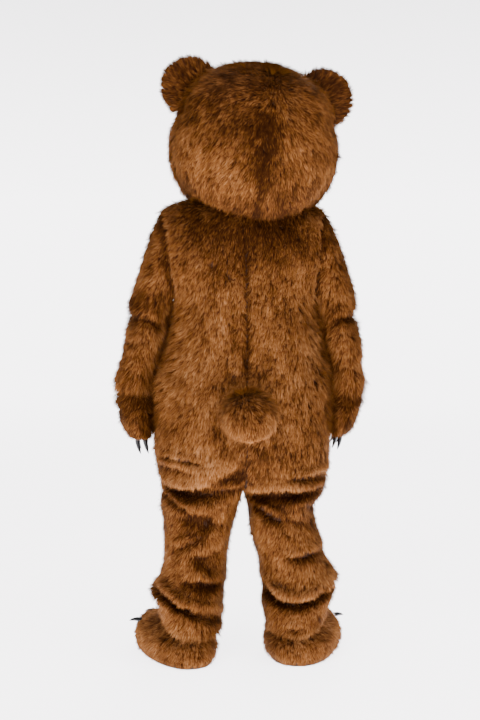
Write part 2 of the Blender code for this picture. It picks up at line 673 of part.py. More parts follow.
def head_grid(side, face):
    """Outer points of one head panel, from the crown to the rim, centre seam first."""
    depth = HEAD_HALF_DEPTH[face]
    grid = np.zeros((HEAD_ROWS + 1, HEAD_COLUMNS + 1, 3))
    for column in range(HEAD_COLUMNS + 1):
        around = math.pi / 2 * column / HEAD_COLUMNS
        aside = math.sin(around) ** 2
        rim = HEAD_RIM[face] + (HEAD_RIM["side"] - HEAD_RIM[face]) * aside
        chin = HEAD_CHIN[face] + (HEAD_CHIN["side"] - HEAD_CHIN[face]) * aside
        for row in range(HEAD_ROWS + 1):
            down = math.radians(rim) * row / HEAD_ROWS
            ring = abs(math.sin(down)) ** (2 / HEAD_SQUARE)
            lift = math.copysign(abs(math.cos(down)) ** (2 / HEAD_SQUARE), math.cos(down))
            dip = HEAD_DIP * math.exp(-(((lift - HEAD_DIP_LIFT) / HEAD_DIP_REACH) ** 2))
            grid[row, column] = (
                SIDES[side] * HEAD_HALF_WIDTH * (1 - dip) * ring * math.sin(around),
                (1 if face == "back" else -1) * depth * ring * math.cos(around),
                (HEAD_CROWN if lift > 0 else chin) * lift,
            )
    return grid


def sew_head(parent):
    """Four head panels over an open neck, with ears, muzzle, nose and eyes seated on them."""
    fur = material("brown_fur", FUR_BROWN, 0.9)
    names, grids, turns = [], [], []
    for side, sign in SIDES.items():
        for face in ("back", "front"):
            names.append(f"head_{face}_{side}")
            grids.append(head_grid(side, face))
            turns.append(((sign > 0) != (face == "back"), False))
    normals = shared_normals(grids, turns)
    surfaces = []
    for name, grid, normal in zip(names, grids, normals):
        face, side = name.split("_")[1:]
        outer, inner = grid.copy(), grid - WALL * normal
        for wall in (outer, inner):
            hold_off(wall, 0, SIDES[side])
            hold_off(wall, 1, 1.0 if face == "back" else -1.0)
        surfaces.append((grid, False))
        walled(name, outer, inner, False, fur, parent)
    tree = tree_of(surfaces)
    for side, sign in SIDES.items():
        centre = (EAR_CENTRE[side][0] * sign, *EAR_CENTRE[side][1:])
        radii = (EAR_RADIUS, EAR_HALF_THICKNESS, EAR_RADIUS)
        seated_lump("ear_" + side, centre, radii, (0.8 * sign, 0, 0.6), tree, fur, parent, 18, 12, EAR_SEAT)
    tan = material("tan_plush", FUR_TAN, 0.9)
    black = material("black_moulding", CLAW_BLACK, 0.25)
    muzzle = seated_lump(
        "muzzle", MUZZLE_CENTRE, MUZZLE_RADII, (0, -1, 0), tree, tan, parent, 20, 12, MUZZLE_SEAT
    )
    shape = bmesh.new()
    shape.from_mesh(muzzle.data)
    muzzle_tree = BVHTree.FromBMesh(shape)
    shape.free()
    seated_lump("nose", NOSE_CENTRE, NOSE_RADII, (0, -1, 0), muzzle_tree, black, parent, 12, 8, NOSE_SEAT)
    for side, sign in SIDES.items():
        centre = (EYE_CENTRE[0] * sign, EYE_CENTRE[1], EYE_CENTRE[2])
        seated_lump("eye_" + side, centre, EYE_RADII, (0, -1, 0), tree, black, parent, 12, 8)


def claw(name, kind, root, direction, seat, lean, tree, finish, parent):
    """A horn on a round root: it narrows to a point and bends towards lean."""
    direction, lean = Vector(direction).normalized(), Vector(lean).normalized()
    turn_axis = direction.cross(lean).normalized()
    side = turn_axis
    rings = 4
    points = []
    position = Vector(root)
    heading = direction.copy()
    for ring in range(rings):
        share = ring / rings
        radius = CLAW_RADIUS[kind] * math.sqrt(1 - share) * (1 - 0.25 * share)
        across = heading.cross(side).normalized()
        for k in range(CLAW_SIDES):
            angle = 2 * math.pi * k / CLAW_SIDES
            points.append(position + side * radius * math.cos(angle) + across * radius * math.sin(angle))
        heading.rotate(Matrix.Rotation(math.radians(CLAW_BEND / rings), 3, turn_axis))
        position = position + heading * CLAW_LENGTH / rings
    points.append(position)
    points.append(Vector(root))
    seats = list(range(CLAW_SIDES)) + [len(points) - 1]
    for k in seats:
        hit = tree.ray_cast(points[k] + direction * CLAW_LENGTH, -direction)[0]
        if hit is not None:
            points[k] = hit + direction * seat
    faces = grid_faces(rings, CLAW_SIDES, True)
    tip, foot = len(points) - 2, len(points) - 1
    last = (rings - 1) * CLAW_SIDES
    for k in range(CLAW_SIDES):
        following = (k + 1) % CLAW_SIDES
        faces.append((last + k, last + following, tip))
        faces.append((following, k, foot))
    return add_object(name, points, faces, finish, parent)


def sew_glove(side, parent):
    """A hollow mitten: its cuff stands open inside the sleeve, and claws stand at its fingertips."""
    fur = material("brown_fur", FUR_BROWN, 0.9)
    black = material("black_moulding", CLAW_BLACK, 0.25)
    sign = SIDES[side]
    rows = []
    for section in GLOVE_SECTIONS[side]:
        ring = []
        for k in range(GLOVE_COLUMNS):
            angle = 2 * math.pi * k / GLOVE_COLUMNS
            local = Vector((section.half_width * math.cos(angle), section.half_depth * math.sin(angle), 0))
            local.rotate(Euler((0, 0, math.radians(GLOVE_TURN[side]))))
            middle = Vector((section.middle_x * sign, section.middle_y, section.height))
            ring.append(middle + local)
        rows.append(ring)
    tip = Vector((GLOVE_SECTIONS[side][-1].middle_x * sign, GLOVE_SECTIONS[side][-1].middle_y, GLOVE_TIP[side]))
    rows.append([tip] * GLOVE_COLUMNS)
    outer = np.array(rows)
    normal = shared_normals([outer], [(True, True)])[0]
    walled("glove_" + side, outer, outer - GLOVE_WALL * normal, True, fur, parent)
    tree = tree_of([(outer, True)])
    for number, stand in enumerate(GLOVE_CLAWS[side]):
        place = tip + Vector((stand.outwards * sign, stand.backwards, 0))
        direction = Vector((0, -stand.reach, -1)).normalized()
        root = tree.ray_cast(place + direction * 0.3, -direction)[0]
        name = f"glove_claw_{side}_{number + 1}"
        claw(name, "glove", root, direction, stand.seat, (-0.5 * sign, 0.4, 0), tree, black, parent)


def boot_ring(section, side, inset=0.0):
    """The boot's outline at one height: a long oval, blunter at the toes than at the heel."""
    ring = []
    for k in range(BOOT_COLUMNS):
        angle = 2 * math.pi * k / BOOT_COLUMNS
        c, s = math.cos(angle), math.sin(angle)
        wide = section.half_width * (1.0 - 0.10 * s) * (1 - BOOT_NARROW[side] * section.foot)
        ring.append(
            (
                SIDES[side] * BOOT_ASIDE[side] * section.foot
                + (wide - inset) * math.copysign(abs(c) ** (2 / BOOT_SQUARE), c),
                section.middle_y + (section.half_length - inset) * math.copysign(abs(s) ** (2 / BOOT_SQUARE), s),
                section.height,
            )
        )
    return ring


def sew_boot(side, parent):
    """A boot upper open at the ankle, on a flat sole, with claws along its toes."""
    fur = material("brown_fur", FUR_BROWN, 0.9)
    black = material("black_moulding", CLAW_BLACK, 0.25)
    outer = np.array([boot_ring(section, side) for section in BOOT_SECTIONS])
    normal = shared_normals([outer], [(False, True)])[0]
    inner = outer - WALL * normal
    inner[0, :, 2] = outer[0, :, 2]
    inner[-1, :, 2] = outer[-1, :, 2]
    walled("boot_" + side, outer, inner, True, fur, parent)
    sole = np.array([boot_ring(BOOT_SECTIONS[0], side, SOLE_INSET)] * 2)
    sole[0, :, 2] = 0.0
    sole[1, :, 2] = SOLE_THICKNESS
    count = BOOT_COLUMNS
    faces = grid_faces(2, count, True) + [tuple(range(count)), tuple(range(count, 2 * count))[::-1]]
    add_object(
        "sole_" + side, sole.reshape(-1, 3), faces, material("sole_rubber", SOLE_BLACK, 0.7), parent, False
    )
    tree = tree_of([(outer, True)])
    for number in range(CLAW_COUNT):
        share = number / (CLAW_COUNT - 1) - 0.5
        direction = Vector((1.5 * share, -1.0, 0.10)).normalized()
        start = Vector((BOOT_CLAW_SPREAD * share, -0.10, BOOT_CLAW_HEIGHT)) + direction * 0.3
        root = tree.ray_cast(start, -direction)[0]
        name = f"boot_claw_{side}_{number + 1}"
        claw(name, "boot", root, direction, BOOT_CLAW_SEAT, (0, 0, -1), tree, black, parent)


def empty(name, location, rotation, parent):
    """A frame that a group of pieces hangs from."""
    made = bpy.data.objects.new(name, None)
    bpy.data.collections[NAME].objects.link(made)
    made.parent = parent
    made.location = location
    made.rotation_euler = rotation
    return made


def main():
    for old in list(bpy.data.objects):
        bpy.data.objects.remove(old, do_unlink=True)
    parts = bpy.data.collections.new(NAME)
    bpy.context.scene.collection.children.link(parts)
    floor = empty("floor_frame", (0, 0, -SHOULDER_HEIGHT), (0, 0, 0), None)
    surfaces = sew_suit(floor)
    tree = tree_of([surfaces["suit_back_left"], surfaces["suit_back_right"]])
    fur = material("brown_fur", FUR_BROWN, 0.9)
    seated_lump("tail", TAIL_CENTRE, TAIL_RADII, (0, 1, 0), tree, fur, floor, 18, 12)
    tilt = (0, math.radians(-HEAD_ROLL), math.radians(HEAD_YAW))
    sew_head(empty("head_frame", HEAD_CENTRE, tilt, floor))
    for side in SIDES:
        sew_glove(side, floor)
        place = (BOOT_PLACE[side][0] * SIDES[side], BOOT_PLACE[side][1], 0)
        sew_boot(side, empty("boot_frame_" + side, place, (0, 0, math.radians(BOOT_TURN[side])), floor))


main()
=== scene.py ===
"""Fur bear costume: sewn panels with their long pile, stuffed ears and tail, claws, and a plain studio."""

from collections import namedtuple

import bmesh
import bpy
import numpy as np
from bpy.props import FloatProperty, FloatVectorProperty, IntProperty, PointerProperty
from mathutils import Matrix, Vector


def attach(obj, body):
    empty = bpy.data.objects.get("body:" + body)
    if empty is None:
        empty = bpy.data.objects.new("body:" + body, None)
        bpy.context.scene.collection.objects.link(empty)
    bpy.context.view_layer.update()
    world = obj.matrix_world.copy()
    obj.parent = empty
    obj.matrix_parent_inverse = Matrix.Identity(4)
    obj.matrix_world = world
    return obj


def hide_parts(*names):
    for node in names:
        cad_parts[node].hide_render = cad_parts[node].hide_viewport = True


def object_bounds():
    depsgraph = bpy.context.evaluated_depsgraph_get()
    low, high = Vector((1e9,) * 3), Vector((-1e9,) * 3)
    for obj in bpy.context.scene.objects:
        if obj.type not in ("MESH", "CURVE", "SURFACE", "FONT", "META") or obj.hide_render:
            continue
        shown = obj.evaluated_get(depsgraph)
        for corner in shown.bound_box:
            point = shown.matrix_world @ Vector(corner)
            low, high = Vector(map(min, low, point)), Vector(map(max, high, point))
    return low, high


bl_info = {
    "name": "Fur Bear Costume",
    "version": (1, 0, 0),
    "blender": (4, 5, 0),
    "location": "3D View > Sidebar > Costume",
    "description": "Sews the pile, ears, tail and claws of a worn bear costume and lights it",
    "category": "Object",
}

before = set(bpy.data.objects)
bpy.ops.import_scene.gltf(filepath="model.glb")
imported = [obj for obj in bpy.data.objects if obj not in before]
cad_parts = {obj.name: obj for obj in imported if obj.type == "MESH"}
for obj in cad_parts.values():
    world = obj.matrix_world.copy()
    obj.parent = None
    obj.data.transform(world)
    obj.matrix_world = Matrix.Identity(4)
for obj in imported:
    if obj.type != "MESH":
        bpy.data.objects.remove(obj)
CAD_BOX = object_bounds()

# Signs: left is +X, and the back is +Y.
SIDES = {"left": 1.0, "right": -1.0}
FACES = {"back": 1.0, "front": -1.0}
SHOULDER_HEIGHT = 1.42
# Heights in the tables are above the floor: the frame's origin is this far up.
UP = np.array([0, 0, SHOULDER_HEIGHT])
BACKING = 0.002
LYING_PILE = 0.008
# How far pile may stand out of the solids' box, below it and above it.
FLUFF = np.array([(-0.030, -0.026, 0.001), (0.030, 0.026, 0.050)])
# Under the pile the folds of the cloth are this much tighter than the solid's.
FOLD_TIGHT = 0.75


def table(kind, *rows):
    """Rows of values under a named tuple's columns."""
    return tuple(kind(*row) for row in rows)


# The suit's cross-section at each height. Each leg is an oval from its inner to its outer edge.
# Above the crotch the two ovals merge: join falls from 1, where they touch, to 0, where they are one.
BodySection = namedtuple(
    "BodySection", "height outer_left outer_right inner_left inner_right join back front square"
)
BODY_SECTIONS = table(
    BodySection,
    (0.100, 0.262, 0.264, 0.070, 0.074, 1.00, 0.124, 0.122, 2.0),
    (0.175, 0.272, 0.280, 0.064, 0.061, 1.00, 0.118, 0.118, 2.0),
    (0.225, 0.284, 0.291, 0.060, 0.062, 1.00, 0.117, 0.115, 2.0),
    (0.260, 0.262, 0.294, 0.055, 0.055, 1.00, 0.113, 0.112, 2.0),
    (0.310, 0.248, 0.264, 0.052, 0.050, 1.00, 0.108, 0.108, 2.0),
    (0.380, 0.246, 0.244, 0.043, 0.030, 1.00, 0.108, 0.108, 2.0),
    (0.440, 0.249, 0.226, 0.027, 0.019, 1.00, 0.113, 0.111, 2.0),
    (0.495, 0.255, 0.226, 0.012, 0.011, 1.00, 0.124, 0.114, 2.1),
    (0.520, 0.252, 0.246, 0.000, 0.000, 1.00, 0.134, 0.118, 2.1),
    (0.570, 0.256, 0.262, 0.000, 0.000, 0.62, 0.152, 0.132, 2.2),
    (0.610, 0.266, 0.267, 0.000, 0.000, 0.34, 0.163, 0.148, 2.3),
    (0.660, 0.274, 0.269, 0.000, 0.000, 0.12, 0.173, 0.168, 2.4),
    (0.710, 0.274, 0.270, 0.000, 0.000, 0.00, 0.180, 0.188, 2.4),
    (0.780, 0.273, 0.269, 0.000, 0.000, 0.00, 0.179, 0.204, 2.4),
    (0.870, 0.277, 0.273, 0.000, 0.000, 0.00, 0.168, 0.212, 2.4),
    (0.950, 0.251, 0.256, 0.000, 0.000, 0.00, 0.158, 0.204, 2.4),
    (1.030, 0.228, 0.238, 0.000, 0.000, 0.00, 0.152, 0.186, 2.4),
    (1.110, 0.220, 0.226, 0.000, 0.000, 0.00, 0.144, 0.168, 2.4),
    (1.220, 0.256, 0.262, 0.000, 0.000, 0.00, 0.132, 0.150, 2.4),
)
CROTCH_HEIGHT = 0.520
INSEAM = 0.004
# Up to here each leg has its own middle line, at most this far aside.
LEG_TOP = 0.56
LEG_ASIDE = 0.13

# Heights of the suit's rows of points, from the trouser hem to the armpit. More follow up the armhole.
ROW_HEIGHTS = (
    0.100, 0.135, 0.170, 0.200, 0.230, 0.260, 0.295, 0.335, 0.380, 0.425, 0.465, 0.497, 0.520,
    0.545, 0.570, 0.605, 0.645, 0.690, 0.735, 0.785, 0.835, 0.885, 0.930, 0.975, 1.020, 1.060,
    1.090,
)
ARMPIT_ROW = len(ROW_HEIGHTS) - 1
ARMHOLE_ROWS = 8
TOP_ROW = ARMPIT_ROW + ARMHOLE_ROWS
PANEL_COLUMNS = 8

# The hem dips at the heel and rides up over the instep.
HEM_BACK_DROP = 0.004
HEM_FRONT_RISE = 0.070
HEM_OUTER_RISE = 0.050
HEM_REACH = 0.150

# Armhole: an upright oval at each side, from armpit to shoulder point.
ARMPIT_HEIGHT = 1.090
ARMHOLE_MIDDLE = 1.220
ARMHOLE_HALF_DEPTH = 0.078
SHOULDER_POINT = (0.252, 1.400)

# Neck opening of the suit and the shoulder seam beside it.
NECK_COLUMNS = 3
NECK_HALF_WIDTH = 0.082
NECK_HALF_DEPTH = {"back": 0.066, "front": 0.076}
NECK_HEIGHT = {"back": 1.436, "front": 1.416}
NECK_SIDE_HEIGHT = 1.440
SHOULDER_BOW = 2.5

# Each sleeve's rings, from the armhole to the hem, by their outermost and innermost points.
SleeveSection = namedtuple("SleeveSection", "outer_x outer_z inner_x inner_z half_depth")
SLEEVE_SECTIONS = {
    "left": table(
        SleeveSection,
        (0.252, 1.398, 0.2200, 1.090, 0.078),
        (0.272, 1.352, 0.2260, 1.077, 0.081),
        (0.292, 1.298, 0.2310, 1.063, 0.083),
        (0.309, 1.247, 0.2345, 1.047, 0.083),
        (0.327, 1.190, 0.2375, 1.031, 0.081),
        (0.341, 1.142, 0.2400, 1.013, 0.078),
        (0.346, 1.103, 0.2415, 0.995, 0.075),
        (0.343, 1.068, 0.2455, 0.978, 0.073),
        (0.358, 1.038, 0.2500, 0.961, 0.072),
        (0.366, 1.006, 0.2560, 0.944, 0.071),
        (0.370, 0.968, 0.2640, 0.924, 0.069),
        (0.381, 0.929, 0.2730, 0.903, 0.067),
        (0.389, 0.899, 0.2810, 0.884, 0.064),
        (0.390, 0.868, 0.2860, 0.864, 0.060),
    ),
    "right": table(
        SleeveSection,
        (0.252, 1.398, 0.2250, 1.090, 0.078),
        (0.278, 1.352, 0.2310, 1.077, 0.081),
        (0.300, 1.298, 0.2355, 1.063, 0.083),
        (0.318, 1.247, 0.2390, 1.047, 0.083),
        (0.335, 1.190, 0.2425, 1.031, 0.081),
        (0.348, 1.142, 0.2455, 1.013, 0.078),
        (0.348, 1.103, 0.2480, 0.995, 0.075),
        (0.345, 1.066, 0.2525, 0.978, 0.073),
        (0.362, 1.034, 0.2570, 0.961, 0.072),
        (0.370, 1.000, 0.2610, 0.944, 0.071),
        (0.374, 0.962, 0.2655, 0.922, 0.069),
        (0.373, 0.922, 0.2705, 0.898, 0.067),
        (0.378, 0.888, 0.2760, 0.874, 0.064),
        (0.376, 0.852, 0.2810, 0.848, 0.060),
    ),
}
SLEEVE_CAP_RINGS = 4

# The largest folds. Turn is the angle round the suit or sleeve: 0 in front, 90 at the outer side,
# 180 at the back, 270 at the inner side. Each fold is a soft trough along a bowed line.
Fold = namedtuple("Fold", "part turn_from turn_to height_from height_middle height_to depth half_width")
FOLDS = table(
    Fold,
    # Seat overhang and the trough below it, back of each thigh.
    ("leg_left", 95, 262, 0.572, 0.546, 0.594, 0.020, 0.024),
    ("leg_right", 100, 258, 0.556, 0.536, 0.530, 0.020, 0.024),
    ("leg_left", 92, 165, 0.628, 0.622, 0.604, 0.010, 0.022),
    ("leg_right", 92, 160, 0.590, 0.588, 0.580, 0.010, 0.022),
    # Slack of each thigh, lying in rolls.
    ("leg_left", 140, 225, 0.470, 0.452, 0.440, 0.009, 0.022),
    ("leg_right", 110, 250, 0.435, 0.462, 0.500, 0.010, 0.024),
    ("leg_left", 160, 240, 0.345, 0.352, 0.372, 0.007, 0.024),
    ("leg_right", 95, 175, 0.350, 0.346, 0.352, 0.009, 0.024),
    # Deep rolls of the calf, over the boot.
    ("leg_left", 150, 250, 0.270, 0.262, 0.256, 0.010, 0.020),
    ("leg_left", 85, 262, 0.238, 0.196, 0.150, 0.020, 0.020),
    ("leg_right", 80, 275, 0.258, 0.205, 0.250, 0.022, 0.022),
    # The same slack on the front of the legs.
    ("leg_left", -70, 85, 0.545, 0.520, 0.552, 0.012, 0.024),
    ("leg_right", -70, 85, 0.550, 0.524, 0.548, 0.012, 0.024),
    ("leg_left", -80, 60, 0.400, 0.372, 0.392, 0.010, 0.026),
    ("leg_right", -60, 80, 0.372, 0.390, 0.420, 0.010, 0.026),
    ("leg_left", -85, 70, 0.270, 0.236, 0.262, 0.016, 0.022),
    ("leg_right", -75, 85, 0.262, 0.240, 0.282, 0.016, 0.022),
    # Elbow and forearm of each sleeve.
    ("sleeve_left", 52, 232, 1.092, 1.082, 1.050, 0.013, 0.019),
    ("sleeve_right", 60, 225, 1.086, 1.082, 1.056, 0.013, 0.020),
    ("sleeve_left", 80, 205, 1.020, 1.004, 1.012, 0.006, 0.015),
    ("sleeve_right", 75, 215, 1.016, 1.028, 1.022, 0.005, 0.018),
    ("sleeve_left", -60, 70, 1.072, 1.050, 1.078, 0.012, 0.022),
    ("sleeve_right", -60, 70, 1.060, 1.046, 1.072, 0.012, 0.022),
)
# Each fold fades over this share of its length at both ends. Its upper side is steeper by this factor,
# and a roll of this share of its depth hangs this many half widths over it.
FOLD_END = 0.28
FOLD_POWER = 1.7
FOLD_STEEP = 1.5
FOLD_ROLL = 0.30
FOLD_ROLL_AWAY = 2.3

# Tail: a stuffed ball on the centre-back seam.
TAIL_CENTRE = (0.002, 0.226, 0.789)
TAIL_RADII = (0.084, 0.076, 0.082)

# Head, in its own frame: a full oval whose cheeks are wider than its crown.
HEAD_CENTRE = (-0.033, 0.0, 1.5936)
HEAD_ROLL = 4.5
HEAD_YAW = 5.0
HEAD_HALF_WIDTH = 0.260
HEAD_HALF_DEPTH = {"back": 0.226, "front": 0.232}
HEAD_CROWN = 0.247
HEAD_CHIN = {"back": 0.268, "side": 0.228, "front": 0.290}
HEAD_SQUARE = 2.3
HEAD_COLUMNS = 9
HEAD_ROWS = 10
# Under the ears the sides dip in: how deep, as a share of the width, at what share of the lift, how far.
HEAD_DIP = 0.045
HEAD_DIP_LIFT = 0.32
HEAD_DIP_REACH = 0.16
# How far down each meridian reaches before the neck opening's rim, from the crown.
HEAD_RIM = {"back": 142.0, "side": 131.9, "front": 142.0}

EAR_CENTRE = {"left": (0.202, 0.0, 0.154), "right": (0.202, 0.0, 0.163)}
EAR_RADII = (0.089, 0.034, 0.089)
# Both ears' pile is drawn darker; the right one's more, as painted shadow from the head.
EAR_SHADE = {"left": -0.20, "right": -0.34}
MUZZLE_CENTRE = (0.0, -0.220, -0.062)
MUZZLE_RADII = (0.112, 0.098, 0.080)
NOSE_CENTRE = (0.0, -0.309, -0.026)
# The pile is left out round each eye button in an oval that reaches a little higher than the button.
EYE_SOCKET = (0.078, -0.224, 0.054)
EYE_SOCKET_RADII = (0.026, 0.05, 0.030)

# Gloves: rings from the cuff, inside the sleeve, down to the fingertips.
GloveSection = namedtuple("GloveSection", "height middle_x middle_y half_width half_depth")
GLOVE_SECTIONS = {
    "left": table(
        GloveSection,
        (0.890, 0.3335, 0.000, 0.0335, 0.038),
        (0.866, 0.3334, 0.000, 0.036, 0.042),
        (0.846, 0.334, -0.001, 0.042, 0.049),
        (0.818, 0.332, -0.003, 0.051, 0.061),
        (0.784, 0.331, -0.005, 0.052, 0.068),
        (0.750, 0.330, -0.006, 0.049, 0.067),
        (0.722, 0.325, -0.007, 0.042, 0.060),
        (0.703, 0.321, -0.008, 0.033, 0.048),
        (0.690, 0.318, -0.009, 0.020, 0.029),
    ),
    "right": table(
        GloveSection,
        (0.880, 0.328, 0.000, 0.032, 0.040),
        (0.852, 0.3277, 0.000, 0.0345, 0.0435),
        (0.832, 0.327, -0.001, 0.038, 0.048),
        (0.806, 0.325, -0.003, 0.047, 0.061),
        (0.776, 0.321, -0.005, 0.047, 0.068),
        (0.748, 0.317, -0.006, 0.042, 0.066),
        (0.726, 0.313, -0.007, 0.036, 0.059),
        (0.708, 0.307, -0.008, 0.027, 0.047),
        (0.697, 0.303, -0.009, 0.016, 0.028),
    ),
}
GLOVE_TIP = {"left": 0.686, "right": 0.693}
GLOVE_TURN = {"left": 15.0, "right": -12.0}

# Boots, in the foot's own frame: heel to +Y, toes to -Y. Foot is 1 for a ring of the foot, 0 at the ankle.
BootSection = namedtuple("BootSection", "height foot middle_y half_width half_length")
BOOT_SECTIONS = table(
    BootSection,
    (0.0093, 1.0, -0.052, 0.108, 0.176),
    (0.030, 1.0, -0.054, 0.118, 0.188),
    (0.056, 1.0, -0.052, 0.119, 0.186),
    (0.080, 1.0, -0.052, 0.113, 0.174),
    (0.104, 0.8, -0.058, 0.0968, 0.147),
    (0.128, 0.3, -0.020, 0.077, 0.101),
    (0.154, 0.0, 0.000, 0.071, 0.080),
    (0.190, 0.0, 0.000, 0.069, 0.076),
)
# Under the ankle each foot lies this far outwards and is this much narrower than the table.
BOOT_ASIDE = {"left": 0.029, "right": 0.015}
BOOT_NARROW = {"left": 0.06, "right": 0.0}
BOOT_PLACE = {"left": (0.1635, 0.0022), "right": (0.1640, 0.0067)}
BOOT_TURN = {"left": 20.0, "right": -16.0}
BOOT_SQUARE = 2.3

# Creases of the cloth under the pile: a trough along a bowed line, seen in the plane of that face,
# sharp on its upper side, where a roll of cloth may stand over it.
Crease = namedtuple(
    "Crease", "x_from height_from x_middle height_middle x_to height_to depth half_width roll",
    defaults=(0.0,),
)
BACK_CREASES = table(
    Crease,
    # Centre-back seam above and below the tail, then the slack beside it.
    (-0.003, 1.300, -0.003, 1.080, -0.003, 0.872, 0.014, 0.006),
    (-0.003, 0.705, -0.003, 0.660, -0.003, 0.630, 0.008, 0.004),
    (0.049, 1.146, 0.040, 1.066, 0.037, 0.971, 0.006, 0.010),
    (0.049, 0.920, 0.040, 0.899, 0.031, 0.878, 0.008, 0.009),
    (0.079, 0.905, 0.070, 0.881, 0.064, 0.854, 0.008, 0.009),
    (-0.026, 0.902, -0.052, 0.923, -0.076, 0.935, 0.008, 0.010, 0.004),
    (0.058, 1.220, 0.049, 1.205, 0.043, 1.187, 0.008, 0.008),
    (0.108, 1.249, 0.103, 1.238, 0.097, 1.223, 0.008, 0.011),
    (-0.079, 0.779, -0.091, 0.770, -0.106, 0.764, 0.006, 0.009, 0.003),
    # Left hip and seat, then down the left leg.
    (0.278, 0.664, 0.200, 0.657, 0.130, 0.644, 0.014, 0.006, 0.006),
    (0.205, 0.558, 0.092, 0.545, -0.006, 0.640, 0.013, 0.030, 0.009),
    (0.260, 0.554, 0.224, 0.514, 0.170, 0.495, 0.011, 0.010, 0.009),
    (0.190, 0.480, 0.140, 0.480, 0.094, 0.462, 0.012, 0.022, 0.008),
    (0.098, 0.460, 0.115, 0.435, 0.195, 0.412, 0.012, 0.014),
    (0.224, 0.368, 0.170, 0.384, 0.115, 0.424, 0.010, 0.013, 0.006),
    (0.145, 0.350, 0.124, 0.330, 0.097, 0.300, 0.011, 0.016),
    (0.160, 0.278, 0.115, 0.258, 0.073, 0.246, 0.011, 0.018, 0.003),
    (0.278, 0.254, 0.188, 0.182, 0.067, 0.139, 0.012, 0.012, 0.012),
    # Right hip and seat, then down the right leg.
    (-0.126, 0.597, -0.174, 0.587, -0.235, 0.606, 0.011, 0.010, 0.008),
    (-0.011, 0.535, -0.108, 0.562, -0.200, 0.538, 0.016, 0.018, 0.009),
    (-0.070, 0.515, -0.105, 0.505, -0.130, 0.476, 0.013, 0.013),
    (-0.018, 0.505, -0.070, 0.470, -0.120, 0.448, 0.011, 0.010),
    (-0.008, 0.520, -0.014, 0.406, -0.042, 0.344, 0.007, 0.006),
    (-0.108, 0.446, -0.126, 0.427, -0.141, 0.403, 0.006, 0.010, 0.003),
    (-0.126, 0.344, -0.165, 0.338, -0.229, 0.356, 0.010, 0.011, 0.009),
    (-0.045, 0.279, -0.078, 0.226, -0.135, 0.210, 0.012, 0.010, 0.009),
    (-0.048, 0.245, -0.162, 0.139, -0.262, 0.260, 0.010, 0.013, 0.012),
    (-0.123, 0.123, -0.156, 0.117, -0.189, 0.129, 0.008, 0.009, 0.005),
)
# The front has similar ones: those of the other leg, a little higher, and a plain centre seam.
FRONT_LIFT = (0.014, 0.020, 0.008)
FRONT_SHARE = 0.8
FRONT_CREASES = tuple(
    Crease(-c.x_from, c.height_from + FRONT_LIFT[0], -c.x_middle, c.height_middle + FRONT_LIFT[1],
           -c.x_to, c.height_to + FRONT_LIFT[2], FRONT_SHARE * c.depth, c.half_width, FRONT_SHARE * c.roll)
    for c in BACK_CREASES if c.height_from < 0.72
) + (Crease(0.000, 0.820, 0.000, 0.700, 0.000, 0.600, 0.006, 0.007),)
CREASES = {"back": BACK_CREASES, "front": FRONT_CREASES}
# Each crease fades over this share of its length at both ends. Under a roll its upper side is this steep,
# and the roll stands this many half widths over it.
CREASE_END = 0.2
CREASE_STEEP = 0.55
CREASE_ROLL_AWAY = 1.5
